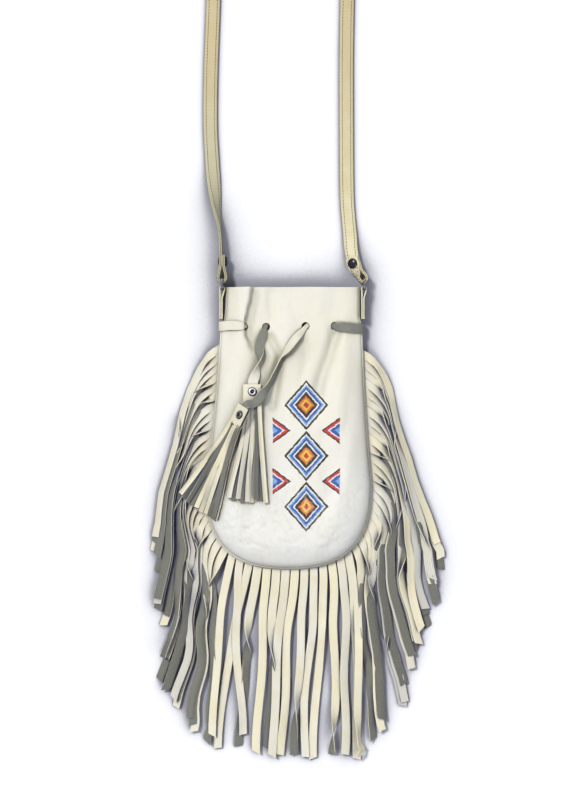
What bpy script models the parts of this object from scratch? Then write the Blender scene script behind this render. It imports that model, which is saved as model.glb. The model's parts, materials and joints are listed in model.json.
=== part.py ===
# Leather drawstring pouch with a slit fringe, lying on its back. Metres, +Z up.
import math

import bmesh
import bpy
from mathutils import Matrix, Vector

for old in list(bpy.data.objects):
    bpy.data.objects.remove(old, do_unlink=True)

# Driving dimensions, in millimetres
MM = 0.001
GAP = 0.3                    # clearance between pieces that touch
LEATHER = 1.2                # body leather
FRINGE_THICK = 1.0
LACE_THICK = 1.0
LACE_WIDE = 10.0
MOUTH_HALF = 67.0            # half width of the flat mouth
SHOULDER = 2.6               # how much the body widens below the tabs
BELLY_EXTRA = 12.5
BELLY_Y = -195.0             # where the sides turn into the round bottom
BOTTOM_DROP = 85.0
ROUNDNESS = 2.6              # exponent of the rounded bottom
LEAN = 0.015                 # the body leans a little to the left as it goes down
MOUTH_SHIFT = 1.0
ROLL = 1.6                   # radius of the turned edge, to the middle of the leather
FLANGE = 3.3                 # seam allowance inside the turned edge
BELLY_HIGH = 30.0            # height of the front over the floor at the belly
MOUTH_HIGH = 16.0
PUFF = 36.0                  # width of the rounded edge of the front
HOLE_R = 4.0
BACK_HOLE_R = 4.0
HOLES_Y = -39.0
FRONT_HOLES = ((-47.0, -39.0), (-25.7, -39.5), (13.5, -38.8), (42.0, -38.5))
BACK_HOLES = (-47.0, -24.0, 20.0, 44.0)
BACK_RAISED = 4.1            # middle of the back near the mouth, over the lace
FRINGE_TOP_LEFT = -57.0
FRINGE_TOP_RIGHT = -62.0
STRANDS = 59
STRAP_WIDE = 13.2
STRAP_LAYER = 1.1
STRAP_MID = (STRAP_LAYER + GAP) / 2
STRAP_TOP_Y = 449.0          # start of the turn that lies beyond the mouth
WIRE_R = 1.1
RING_LONG = 10.0             # distance between the ring's two bars
RING_INNER = 15.0            # inside length of a bar
RING_Z = 10.0
RING_LOW_Y = -1.6
RING_OUT = 3.4               # how far each ring stands outside the mouth's corner
RING_X = (MOUTH_SHIFT - MOUTH_HALF - RING_OUT, MOUTH_SHIFT + MOUTH_HALF + RING_OUT)
TAB_THICK = 1.5
TAB_WIDE = 11.6
TAB_END_Y = -31.5
STRAP_RIVET_R = 5.0
TASSEL_RIVET_R = 4.3

COLL = bpy.data.collections.new("leather_bag")
CUT = bpy.data.collections.new("cutters")
for c in (COLL, CUT):
    bpy.context.scene.collection.children.link(c)


def material(name, colour, metal, rough):
    m = bpy.data.materials.new(name)
    m.use_nodes = True
    b = m.node_tree.nodes["Principled BSDF"]
    b.inputs["Base Color"].default_value = (*colour, 1.0)
    b.inputs["Metallic"].default_value = metal
    b.inputs["Roughness"].default_value = rough
    return m


CREAM = (0.80, 0.77, 0.64)
STRAPCOL = (0.72, 0.66, 0.42)


UP = Vector((0, 0, 1))


def step(t):
    t = max(0.0, min(1.0, t))
    return t * t * (3 - 2 * t)


def lerp(a, b, t):
    return a + (b - a) * t


# The U-shaped outline, from the left mouth corner round the bottom to the right one
def centre_x(y):
    return MOUTH_SHIFT * step((y + 45) / 30) + LEAN * y


def half_width(y):
    t = max(0.0, min(1.0, -y / -BELLY_Y))
    return MOUTH_HALF + SHOULDER * step((-y - 26) / 16) + 0.4 * step(-y / 90) + BELLY_EXTRA * t ** 1.75


def raw_outline():
    pts = []
    a = half_width(BELLY_Y)
    n = 60
    for i in range(n):
        y = BELLY_Y * i / n
        pts.append(Vector((centre_x(y) - half_width(y), y, 0)))
    for i in range(161):
        th = math.pi + math.pi * i / 160
        c, s = math.cos(th), math.sin(th)
        x = math.copysign(abs(c) ** (2 / ROUNDNESS), c) * a
        y = BELLY_Y - BOTTOM_DROP * abs(s) ** (2 / ROUNDNESS)
        pts.append(Vector((centre_x(y) + x, y, 0)))
    for i in range(n - 1, -1, -1):
        y = BELLY_Y * i / n
        pts.append(Vector((centre_x(y) + half_width(y), y, 0)))
    return pts


RAW = raw_outline()
ARC = [0.0]
for i in range(1, len(RAW)):
    ARC.append(ARC[-1] + (RAW[i] - RAW[i - 1]).length)
TOTAL = ARC[-1]


def outline(s):
    s = max(0.0, min(TOTAL, s))
    lo, hi = 0, len(ARC) - 1
    while hi - lo > 1:
        mid = (lo + hi) // 2
        if ARC[mid] <= s:
            lo = mid
        else:
            hi = mid
    f = (s - ARC[lo]) / max(1e-9, ARC[hi] - ARC[lo])
    return RAW[lo].lerp(RAW[hi], f)


def outward(s):
    d = outline(min(TOTAL, s + 4)) - outline(max(0.0, s - 4))
    return Vector((d.y, -d.x, 0)).normalized()


def arc_at(y, side):
    if side < 0:
        for i in range(len(RAW)):
            if RAW[i].y <= y:
                return ARC[i - 1] + (ARC[i] - ARC[i - 1]) * (RAW[i - 1].y - y) / max(
                    1e-9, RAW[i - 1].y - RAW[i].y)
    for i in range(len(RAW) - 1, -1, -1):
        if RAW[i].y <= y:
            return ARC[i] + (ARC[i + 1] - ARC[i]) * (y - RAW[i].y) / max(1e-9, RAW[i + 1].y - RAW[i].y)
    return 0.0


def edge_distance(x, y):
    best = 1e9
    for p in RAW[::2]:
        d = (p.x - x) ** 2 + (p.y - y) ** 2
        if d < best:
            best = d
    return math.sqrt(best)


def seam_z(y):
    return 6.0 + 2.1 * step((y + 100) / 45)


def seam_gap(y):
    return 0.15 + (FRINGE_THICK / 2 + GAP - 0.15) * (1 - step((y + 57) / 10))


def roll_centre(y, up):
    return seam_z(y) + up * (seam_gap(y) + LEATHER / 2 + ROLL)


# Heights of the middle of the front leather: a puffed edge, folds at the mouth and the lace
def bump(x, y, cx, cy, sx, sy):
    return math.exp(-((x - cx) / sx) ** 2 - ((y - cy) / sy) ** 2)


def near_line(x, y, pts, wide):
    best = 1e9
    for (ax, ay), (bx, by) in zip(pts, pts[1:]):
        dx, dy = bx - ax, by - ay
        t = max(0.0, min(1.0, ((x - ax) * dx + (y - ay) * dy) / (dx * dx + dy * dy)))
        best = min(best, math.hypot(x - ax - t * dx, y - ay - t * dy))
    return math.exp(-(best / wide) ** 2)


def folds(x, y):
    mouth = step((y + 75) / 45)
    z = 3.4 * math.exp(-((x + 57) / 9.5) ** 2) * mouth
    z -= 2.2 * math.exp(-((x + 41) / 4.5) ** 2) * mouth
    z += 2.6 * bump(x, y, -8, -62, 15, 24)
    z -= 2.4 * near_line(x, y, ((41, -58), (33, -80), (23, -112)), 6.5)
    z -= 1.6 * near_line(x, y, ((-19, -58), (-12, -72), (-17, -108)), 5.5)
    z += 1.6 * near_line(x, y, ((58, -10), (54, -80), (44, -130)), 8.0)
    z += 1.2 * math.exp(-((x - 18) / 12) ** 2) * step((y + 35) / 30)
    z -= 1.6 * near_line(x, y, ((-60, -150), (-38, -205), (-44, -250)), 8.0)
    z += 1.5 * near_line(x, y, ((62, -150), (50, -210), (22, -262)), 9.0)
    z -= 1.3 * near_line(x, y, ((30, -150), (36, -200), (20, -240)), 7.0)
    return z


def front_z(x, y):
    edge = roll_centre(y, 1) + ROLL
    high = MOUTH_HIGH + (BELLY_HIGH - MOUTH_HIGH) * step(-y / 150)
    d = max(0.0, edge_distance(x, y) - LEATHER / 2 - ROLL)
    t = min(1.0, d / PUFF)
    s = math.sqrt(max(0.0, 1 - (1 - t) ** 2))
    return edge + (high - edge) * s + folds(x, y) * step(d / 22)


def back_z(x, y):
    edge = roll_centre(y, -1) - ROLL
    flat = LEATHER / 2 + (BACK_RAISED - LEATHER / 2) * step((y + 80) / 24)
    d = max(0.0, edge_distance(x, y) - LEATHER / 2 - ROLL)
    return lerp(edge, flat, step(d / 13))


def front_point(x, y, h):
    e = 1.5
    z = front_z(x, y)
    n = Vector((front_z(x - e, y) - front_z(x + e, y), front_z(x, y - e) - front_z(x, y + e), 2 * e))
    n.normalize()
    return Vector((x, y, z)) + n * h, n


# Mesh helpers
def link(obj, name, mat=None, smooth=True, coll=None):
    obj.name = name
    obj.data.name = name
    for c in list(obj.users_collection):
        c.objects.unlink(obj)
    (coll or COLL).objects.link(obj)
    if mat is not None:
        obj.data.materials.clear()
        obj.data.materials.append(mat)
    if smooth and obj.type == "MESH":
        for p in obj.data.polygons:
            p.use_smooth = True
    return obj


def sheet(name, verts, faces, thick, mat):
    me = bpy.data.meshes.new(name)
    me.from_pydata([tuple(v * MM) for v in verts], [], faces)
    me.validate()
    obj = bpy.data.objects.new(name, me)
    link(obj, name, mat)
    bm = bmesh.new()
    bm.from_mesh(me)
    bmesh.ops.recalc_face_normals(bm, faces=bm.faces)
    bm.to_mesh(me)
    bm.free()
    s = obj.modifiers.new("thickness", "SOLIDIFY")
    s.thickness = thick * MM
    s.offset = 0.0
    s.use_even_offset = False
    return obj


def punch(obj, centre, axis, radius, length, sides=16):
    bpy.ops.mesh.primitive_cylinder_add(vertices=sides, radius=radius * MM, depth=length * MM)
    c = bpy.context.active_object
    c.rotation_mode = "QUATERNION"
    c.rotation_quaternion = Vector((0, 0, 1)).rotation_difference(axis)
    c.location = centre * MM
    link(c, obj.name + "_cut_" + str(len(obj.modifiers)), None, False, CUT)
    c.hide_render = True
    c.display_type = "WIRE"
    m = obj.modifiers.new("hole", "BOOLEAN")
    m.operation = "DIFFERENCE"
    m.solver = "EXACT"
    m.object = c
    return c


def frames(path):
    out = []
    for i, (c, n, hw) in enumerate(path):
        a = path[max(0, i - 1)][0]
        b = path[min(len(path) - 1, i + 1)][0]
        t = (b - a).normalized()
        w = t.cross(n)
        w.normalize()
        out.append((c, w, w.cross(t).normalized(), hw))
    return out


def ribbon(name, frs, thick, mat, shift=0.0):
    verts, faces = [], []
    for c, w, n, hw in frs:
        m = c + n * shift
        verts += [m - w * hw, m + w * hw]
    for i in range(len(frs) - 1):
        faces.append((2 * i, 2 * i + 1, 2 * i + 3, 2 * i + 2))
    return sheet(name, verts, faces, thick, mat)


# Front and back: a four-sided patch with a turned edge and an inner seam allowance
def panel(name, cols, rows, up, height, mat):
    turn = LEATHER / 2 + ROLL
    s_left, s_right = arc_at(-247.0, -1), arc_at(-247.0, 1)

    def side(s):
        p, n = outline(s), outward(s)
        q = p - n * turn
        if s <= 1e-6 or s >= TOTAL - 1e-6:
            q.y = 0.0
        return q

    def spread(i, n):
        t = i / n
        return lerp(t, 0.5 - 0.5 * math.cos(math.pi * t), 0.55)

    left_s = [s_left * j / rows for j in range(rows + 1)]
    right_s = [TOTAL - (TOTAL - s_right) * j / rows for j in range(rows + 1)]
    bottom_s = [lerp(s_left, s_right, spread(i, cols)) for i in range(cols + 1)]
    lefts = [side(s) for s in left_s]
    rights = [side(s) for s in right_s]
    bottoms = [side(s) for s in bottom_s]
    verts, faces, index = [], [], {}
    for j in range(rows + 1):
        v = j / rows
        for i in range(cols + 1):
            u = spread(i, cols)
            top = lefts[0].lerp(rights[0], u)
            q = (top * (1 - v) + bottoms[i] * v + lefts[j] * (1 - u) + rights[j] * u
                 - (lefts[0] * (1 - u) * (1 - v) + rights[0] * u * (1 - v)
                    + bottoms[0] * (1 - u) * v + bottoms[-1] * u * v))
            if j == 0:
                q.y = 0.0
            rim = i in (0, cols) or j == rows
            z = roll_centre(q.y, up) + up * ROLL if rim else height(q.x, q.y)
            index[i, j] = len(verts)
            verts.append(Vector((q.x, q.y, z)))
    for j in range(rows):
        for i in range(cols):
            faces.append((index[i, j], index[i, j + 1], index[i + 1, j + 1], index[i + 1, j]))
    rim = ([(index[0, j], left_s[j]) for j in range(rows + 1)]
           + [(index[i, rows], bottom_s[i]) for i in range(1, cols)]
           + [(index[cols, j], right_s[j]) for j in range(rows, -1, -1)])
    last = [k for k, _ in rim]
    for ang in (30, -30, -90, None):
        row = []
        for k, s in rim:
            p, n = outline(s), outward(s)
            if ang is None:
                q = p - n * (turn + FLANGE)
                z = roll_centre(p.y, up) - up * ROLL
            else:
                r = math.radians(ang)
                q = p - n * (turn - ROLL * math.cos(r))
                z = roll_centre(p.y, up) + up * ROLL * math.sin(r)
            if s <= 1e-6 or s >= TOTAL - 1e-6:
                q.y = 0.0
            row.append(len(verts))
            verts.append(Vector((q.x, q.y, z)))
        for a in range(len(rim) - 1):
            faces.append((last[a], row[a], row[a + 1], last[a + 1]))
        last = row
    return sheet(name, verts, faces, LEATHER, mat)


front = panel("front_panel", 18, 23, 1, front_z, material("front_leather", CREAM, 0, 0.6))
for hx, hy in FRONT_HOLES:
    p, n = front_point(hx, hy, 0.0)
    punch(front, p, n, HOLE_R, 7.0, 18)
back = panel("back_panel", 12, 12, -1, back_z, material("back_leather", CREAM, 0, 0.6))
for hx in BACK_HOLES:
    punch(back, Vector((hx, HOLES_Y, BACK_RAISED)), Vector((0, 0, 1)), BACK_HOLE_R, 6.0, 16)


# Fringe: three strips with an uncut edge in the seam, slit into strands. Beside the body the strands
# bend down and lie over one another like shingles; below it they hang side by side.
def table(rows, y):
    if y >= rows[0][0]:
        return rows[0][1]
    for (y0, v0), (y1, v1) in zip(rows, rows[1:]):
        if y >= y1:
            return lerp(v1, v0, (y - y1) / (y0 - y1))
    return rows[-1][1]


S0, S1 = arc_at(FRINGE_TOP_LEFT, -1), arc_at(FRINGE_TOP_RIGHT, 1)
PITCH = (S1 - S0) / STRANDS
STRAND_HALF = 0.455 * PITCH
BEND = 10.5                  # how far out a side strand turns down
FIRST_LOW, LAST_LOW = 23, 36  # strands that hang straight down
# outer edge of the spread, by height; number of the outermost strand there, counted from the top
LEFT_EDGE = ((-57, -80), (-70, -90), (-85, -99), (-103, -108), (-123, -115), (-158, -123), (-179, -129),
             (-205, -137), (-240, -141), (-285, -138), (-313, -138), (-333, -135), (-352, -132),
             (-380, -130), (-404, -127), (-420, -121), (-436, -110), (-445, -98), (-452, -84))
LEFT_ENDS = ((-236, -0.6), (-285, 4.6), (-313, 6.6), (-333, 9), (-352, 11.2), (-380, 13.6), (-404, 15.6),
             (-420, 17.4), (-436, 19.4), (-445, 21.2), (-452, 23.2))
RIGHT_EDGE = ((-62, 78), (-71, 86), (-88, 98), (-101, 103), (-115, 106), (-133, 110), (-155, 117),
              (-169, 122), (-192, 128), (-210, 134), (-236, 144), (-262, 154), (-288, 147), (-303, 144),
              (-320, 139), (-348, 135), (-364, 127), (-388, 119), (-415, 108), (-430, 103),
              (-443, 98), (-452, 90), (-459, 82), (-463, 73))
RIGHT_ENDS = ((-252, -0.6), (-288, 2.6), (-303, 4.2), (-320, 6.6), (-348, 9.4), (-364, 12.2), (-388, 14.4),
              (-415, 16.6), (-430, 17.6), (-443, 18.6), (-452, 19.6), (-459, 20.6), (-463, 21.6))
TIPS = ((23, -78, -450), (26, -47, -454), (29, -17, -462), (32, 14, -463), (34, 38, -465), (36, 60, -464))


def at_level(y, side):
    return (arc_at(y, side) - S0) / PITCH - 0.5 if side < 0 else STRANDS - 0.5 - (arc_at(y, 1) - S0) / PITCH


def spread_at(i, y, side):
    edge, ends = (LEFT_EDGE, LEFT_ENDS) if side < 0 else (RIGHT_EDGE, RIGHT_ENDS)
    count = FIRST_LOW if side < 0 else STRANDS - 1 - LAST_LOW
    lowest = -262.0
    last = at_level(max(y + 9, lowest), side)
    x_last = outline(arc_at(max(y, lowest), side)).x + side * BEND
    if y < lowest + 40:
        f = step((lowest + 40 - y) / 90)
        last = lerp(last, count, f)
        x_last = lerp(x_last, -76 if side < 0 else 62, f)
    first = table(ends, y)
    x_first = table(edge, y) - side * 4.2
    span = max(2.0, last - first)
    x = x_first + (x_last - x_first) * (i - first) / span
    return x, abs(x_last - x_first) / span


def side_tip(i, side):
    ends = LEFT_ENDS if side < 0 else RIGHT_ENDS
    for (y0, a), (y1, b) in zip(ends, ends[1:]):
        if i <= b:
            return lerp(y0, y1, (i - a) / (b - a))
    return ends[-1][0]


def strand_stations(i):
    s = S0 + (i + 0.5) * PITCH
    n = outward(s)
    root = outline(s)
    zs = seam_z(root.y)
    side = -1 if i < FIRST_LOW else (1 if i > LAST_LOW else 0)
    out = []
    if side == 0:
        for a, b in zip(TIPS, TIPS[1:]):
            if i <= b[0]:
                t = (i - a[0]) / (b[0] - a[0])
                end = Vector((lerp(a[1], b[1], t), lerp(a[2], b[2], t), 0))
                break
        run = (end - root).length
        bow = min(1.0, abs(n.x))
        curve = (root, root + n * 16 + Vector((0, -26 * bow - 4, 0)), end + Vector((0, run * 0.4, 0)), end)
        for t in (0.03, 0.08, 0.17, 0.38, 0.68, 1.0):
            c = bezier(curve, t)
            d = (bezier(curve, min(1, t + .01)) - bezier(curve, t - .01)).normalized()
            far = (c - root).length
            c.z = lerp(zs, 0.75, step((far - 1) / 26))
            out.append((c, Vector((-d.y, d.x, 0))))
        return out
    k = i if side < 0 else STRANDS - 1 - i
    end = side_tip(k, side)
    start = root.y - BEND * 0.9
    plan = [(root + n * 6.2 + Vector((0, -0.6, 0)), 0.45)]
    plan.append((root + n * (BEND - 1.5) + Vector((0, -5.0, 0)), 0.85))
    for f in (0.0, 0.12, 0.34, 0.66, 1.0):
        y = lerp(start, end, f)
        plan.append((Vector((spread_at(k, y, side)[0], y, 0)), 1.0))
    for m, (c, lay) in enumerate(plan):
        a = plan[m - 1][0] if m else root
        b = plan[min(m + 1, len(plan) - 1)][0]
        d = (b - a).normalized()
        across = Vector((-d.y, d.x, 0)) * side
        p = spread_at(k, min(c.y, start), side)[1] * 0.95
        tilt = math.asin(min(0.80, 1.85 / max(1.9, p))) * step((11.0 - p) / 2.0)
        tilt *= lay
        w = (across * math.cos(tilt) - UP * math.sin(tilt)) * side
        rest = 0.65 + STRAND_HALF * math.sin(tilt)
        z = rest + (zs - rest) * (0.45, 0.2)[m] if m < 2 else rest
        out.append((Vector((c.x, c.y, z)), w))
    return out


def strip(name, first, last, mat):
    verts, faces = [], []
    prev = None
    for i in range(first, last):
        s = S0 + (i + 0.5) * PITCH
        cols = []
        for e in (-1, 1):
            se = s + e * STRAND_HALF
            p, n = outline(se), outward(se)
            z = seam_z(p.y)
            cols.append(len(verts))
            verts.append(Vector((*(p - n * 4.6).xy, z)))
            verts.append(Vector((*(p + n * 1.0).xy, z)))
        a, b = cols
        faces.append((a, b, b + 1, a + 1))
        if prev is not None:
            faces.append((prev, a, a + 1, prev + 1))
        prev = b
        low, high = a + 1, b + 1
        for c, w in strand_stations(i):
            k = len(verts)
            verts += [c - w * STRAND_HALF, c + w * STRAND_HALF]
            if (verts[low] - verts[k]).length > (verts[low] - verts[k + 1]).length:
                verts[k], verts[k + 1] = verts[k + 1], verts[k]
            faces.append((low, high, k + 1, k))
            low, high = k, k + 1
    return sheet(name, verts, faces, FRINGE_THICK, mat)


def bezier(p, t):
    m = 1 - t
    return p[0] * m ** 3 + p[1] * 3 * m * m * t + p[2] * 3 * m * t * t + p[3] * t ** 3


strip("fringe_left", 0, 25, material("fringe_leather_left", CREAM, 0, 0.65))
strip("fringe_bottom", 25, 35, material("fringe_leather_bottom", CREAM, 0, 0.65))
strip("fringe_right", 35, STRANDS, material("fringe_leather_right", CREAM, 0, 0.65))


# What lies on the front rests on this height: the front inside the outline, the fringe outside
def support(x, y):
    d = edge_distance(x, y)
    inside = False
    if -281 < y < 0:
        if y > BELLY_Y:
            inside = abs(x - centre_x(y)) < half_width(y)
        else:
            q = min(1.0, (BELLY_Y - y) / BOTTOM_DROP)
            inside = abs(x - centre_x(y)) < half_width(BELLY_Y) * (1 - q ** ROUNDNESS) ** (1 / ROUNDNESS)
    if inside:
        return front_z(x, y) + LEATHER / 2
    return max(7.8, roll_centre(y, 1) + ROLL + LEATHER / 2 - 0.62 * d)


def smooth_support(x, y, r=3.0):
    k = [(0, 0)] + [(r * math.cos(a), r * math.sin(a)) for a in (0, 1.57, 3.14, 4.71)]
    vals = [support(x + a, y + b) for a, b in k]
    return max(vals[0], sum(vals) / len(vals))


def hump(x, y):
    cap = step((17 - abs(x + 38.5)) / 7) * step((y + 152) / 26) * step((-86 - y) / 9)
    strands = step((21 - abs(x + 42)) / 9) * step((-108 - y) / 8) * step((y + 226) / 12)
    return max(6.0 * cap, 3.6 * strands)


def over(x, y):
    return smooth_support(x, y) + hump(x, y)


def on(surf, x, y, h, turned=0.0, direction=None, hw=LACE_WIDE / 2):
    e = 2.0
    n = Vector((surf(x - e, y) - surf(x + e, y), surf(x, y - e) - surf(x, y + e), 2 * e)).normalized()
    c = Vector((x, y, surf(x, y))) + n * h
    if turned:
        t = (direction - n * direction.dot(n)).normalized()
        n = n * math.cos(turned) + t.cross(n) * math.sin(turned)
    return (c, n, hw)


# Tassels: a piece folded round the lace's end, riveted and slit below
def cap_frame(surf, top, down, cap_long, cap_half):
    down = Vector((*down, 0)).normalized()
    across = Vector((-down.y, down.x, 0))
    if across.x < 0:
        across = -across
    mid = Vector((*top, 0)) + down * cap_long / 2
    a, b = mid - across * 8, mid + across * 8
    c, d = mid - down * 9, mid + down * 9
    up = (b - a + UP * (surf(b.x, b.y) - surf(a.x, a.y))).cross(
        d - c + UP * (surf(d.x, d.y) - surf(c.x, c.y))).normalized()
    if up.z < 0:
        up = -up
    along = (down - up * down.dot(up)).normalized()
    side = up.cross(along).normalized()
    if side.x < 0:
        side = -side
    base = Vector((mid.x, mid.y, surf(mid.x, mid.y)))
    lift = 0.0
    for u in (-cap_half - 2, 0, cap_half):
        for v in (-cap_long / 2, 0, cap_long / 2):
            q = base + side * u + along * v
            lift = max(lift, (surf(q.x, q.y) - q.z) * up.z)
    return base + up * lift, side, along, up


def drape(surf, curve, gone, rest, half):
    n = 50
    need = []
    for j in range(n + 1):
        t = j / n
        q = bezier(curve, t)
        d = (bezier(curve, min(1, t + .02)) - bezier(curve, max(0, t - .02))).normalized()
        a = Vector((-d.y, d.x, 0)) * half
        h = [surf(q.x + a.x * k, q.y + a.y * k) for k in (-1, 0, 1)]
        need.append(max(h[1], (h[0] + h[2]) / 2) + lerp(gone, rest, step(t / 0.3)))
    ts = (0.0,) + TASSEL_STATIONS
    z = [need[round(t * n)] for t in ts]
    for _ in range(12):
        for k in range(len(ts) - 1):
            low = 0.0
            for j in range(round(ts[k] * n), round(ts[k + 1] * n) + 1):
                f = (j / n - ts[k]) / (ts[k + 1] - ts[k])
                low = max(low, need[j] - lerp(z[k], z[k + 1], max(0.0, min(1.0, f))))
            if k > 0:
                z[k] += low
            z[k + 1] += low
    return list(zip(ts, z))[1:]


def tassel(name, surf, frame, cap_long, cap_half, tips, mat):
    centre, across, down, up = frame
    top = centre - down * cap_long / 2
    n = len(tips) // 2
    layer = FRINGE_THICK + LACE_THICK + 2 * GAP
    low = GAP + 0.8 + GAP + FRINGE_THICK / 2
    pitch = 2 * cap_half / n
    hw = 0.46 * pitch
    edges = []
    for k in range(n):
        a = cap_half - (k + 0.5) * pitch
        edges.append((a + hw, a - hw, low + layer, k, 1))
    for k in range(n):
        a = -cap_half + (k + 0.5) * pitch
        edges.append((a - hw, a + hw, low, n + k, 0))
    verts, faces = [], []

    def place(a, l, h):
        return top + across * a + down * l + up * h

    prev = None
    for a0, a1, h, k, upper in edges:
        if prev is not None and not upper and k == n:
            m = len(verts)
            r = layer / 2
            verts += [place(-cap_half - r * 0.9, 0, low + r), place(-cap_half - r * 0.9, cap_long, low + r)]
            faces.append((prev[0], m, m + 1, prev[1]))
            prev = (m, m + 1)
        i = len(verts)
        verts += [place(a0, 0, h), place(a0, cap_long, h), place(a1, 0, h), place(a1, cap_long, h)]
        if prev is not None:
            faces.append((prev[0], i, i + 1, prev[1]))
        faces.append((i, i + 2, i + 3, i + 1))
        prev = (i + 2, i + 3)
        lo, hi = i + 1, i + 3
        start = place((a0 + a1) / 2, cap_long, h)
        root = Vector((start.x, start.y, 0))
        gone = (start.z - surf(start.x, start.y)) * up.z
        flat = Vector((down.x, down.y, 0)).normalized()
        end = Vector((*tips[k][:2], 0))
        run = (end - root).length
        curve = (root, root + flat * run * 0.3, end - (end - root) * 0.3, end)
        wide = tips[k][2]
        rest = GAP + FRINGE_THICK / 2 + (2.1 if upper else 0.6)
        for t, z in drape(surf, curve, gone, rest, max(hw, wide)):
            q = bezier(curve, t)
            d = (bezier(curve, min(1, t + .02)) - bezier(curve, max(0, t - .02))).normalized()
            e = 9.0
            nn = Vector((surf(q.x - e, q.y) - surf(q.x + e, q.y),
                         surf(q.x, q.y - e) - surf(q.x, q.y + e), 2 * e)).normalized()
            c = Vector((q.x, q.y, z))
            w = d.cross(nn).normalized()
            half = lerp(hw, wide, step(t / 0.6))
            j = len(verts)
            verts += [c - w * half, c + w * half]
            if (verts[lo] - verts[j]).length > (verts[lo] - verts[j + 1]).length:
                verts[j], verts[j + 1] = verts[j + 1], verts[j]
            faces.append((lo, hi, j + 1, j))
            lo, hi = j, j + 1
    return sheet(name, verts, faces, FRINGE_THICK, mat)


TASSEL_STATIONS = (0.12, 0.30, 0.48, 0.64, 0.80, 1.0)
CAP_LONG, CAP_HALF = 19.5, 8.0
F1 = cap_frame(smooth_support, (-38.5, -97.0), (0.0, -1.0), CAP_LONG, CAP_HALF)
F2 = cap_frame(over, (-44.0, -119.5), (-0.465, -0.885), CAP_LONG, CAP_HALF)
T1_TIPS = [(-27, -210, 2.6), (-35, -212, 2.8), (-45, -209, 2.8), (-55, -212, 2.6),
           (-62, -207, 2.4), (-50, -214, 2.6), (-40, -214, 2.6), (-31, -214, 2.4)]
T2_TIPS = [(-78, -229, 2.8), (-88, -223, 3.0), (-97, -217, 3.0), (-107, -208, 2.8),
           (-111, -203, 2.6), (-102, -213, 2.8), (-92, -221, 2.8), (-83, -227, 2.6)]
tassel_1 = tassel("tassel_left", smooth_support, F1, CAP_LONG, CAP_HALF, T1_TIPS,
                  material("tassel_leather_left", CREAM, 0, 0.6))
tassel_2 = tassel("tassel_right", over, F2, CAP_LONG, CAP_HALF, T2_TIPS,
                  material("tassel_leather_right", CREAM, 0, 0.6))


# Rivets, turned from one profile
def rivet(name, centre, axis, head_r, post_r, low, high, dome, mat, base_r=3.4):
    prof = [(0.0, low - 0.8), (base_r, low - 0.8), (base_r, low), (post_r, low), (post_r, high),
            (head_r, high), (head_r, high + dome * 0.25), (head_r * 0.82, high + dome * 0.68),
            (head_r * 0.45, high + dome * 0.93), (0.0, high + dome)]
    me = bpy.data.meshes.new(name)
    me.from_pydata([(r * MM, 0, z * MM) for r, z in prof], [(i, i + 1) for i in range(len(prof) - 1)], [])
    obj = bpy.data.objects.new(name, me)
    link(obj, name, mat)
    s = obj.modifiers.new("turn", "SCREW")
    s.angle = math.radians(360)
    s.steps = 12
    s.render_steps = 12
    s.use_merge_vertices = True
    s.merge_threshold = 0.00001
    s.use_smooth_shade = True
    s.use_normal_calculate = True
    rot = Vector((0, 0, 1)).rotation_difference(axis).to_matrix().to_4x4()
    obj.matrix_world = Matrix.Translation(centre * MM) @ rot
    return obj


METAL = (0.05, 0.05, 0.055)
cap_low = GAP + 0.8 + GAP
cap_high = cap_low + 2 * FRINGE_THICK + LACE_THICK + 2 * GAP


def cap_rivet(name, tas, frame, a, l):
    n = frame[3]
    c = frame[0] + frame[1] * a + frame[2] * l
    rivet(name, c, n, TASSEL_RIVET_R, 1.2, cap_low - GAP, cap_high + GAP, 2.0,
          material(name + "_metal", METAL, 1.0, 0.25), 2.8)
    punch(tas, c + n * (cap_low + cap_high) / 2, n, 1.2 + GAP, 8.0, 12)
    return c + n * (cap_low + cap_high) / 2, n


r1 = cap_rivet("tassel_rivet_left", tassel_1, F1, -0.4, -2.4)
r2 = cap_rivet("tassel_rivet_right", tassel_2, F2, 0.6, -0.6)


# Drawstring: tassel, hole, round the left side, the back, round the right side, hole, tassel
HALF = LACE_WIDE / 2
mid = cap_low + FRINGE_THICK + GAP + LACE_THICK / 2
lace = []
d1 = Vector((0.1, 1, 0)).normalized()
for l in (7.5, -CAP_LONG / 2 - 0.8):
    lace.append((F1[0] + F1[2] * l + F1[3] * mid, F1[3], 5.0))


def clear(turn, hw):
    a = math.radians(turn)
    return 0.35 + GAP + abs(math.sin(a)) * hw + abs(math.cos(a)) * LACE_THICK / 2


for x, y, h, turn, hw in ((-37.6, -91.5, 1.2, 5, 5.0), (-36.0, -86.5, 0.3, 20, 4.8),
                          (-34.8, -81.5, 0.2, 50, 4.0), (-33.9, -77.2, 0.2, 80, 3.2),
                          (-33.3, -73.0, 0.2, 105, 3.2), (-32.7, -68.5, 0.2, 135, 4.0),
                          (-32.0, -63.0, 0.1, 165, 4.7), (-30.9, -56.5, 0.1, 180, 4.9),
                          (-29.4, -50.5, 0.2, 180, 4.3)):
    lace.append(on(smooth_support, x, y, h + clear(turn, hw), math.radians(turn), d1, hw))
flip = -1.0
through = LEATHER / 2 + GAP + LACE_THICK / 2


def by_front(x, y, h, hw, sign):
    c, n = front_point(x, y, h)
    return (c, n * sign, hw)


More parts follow.
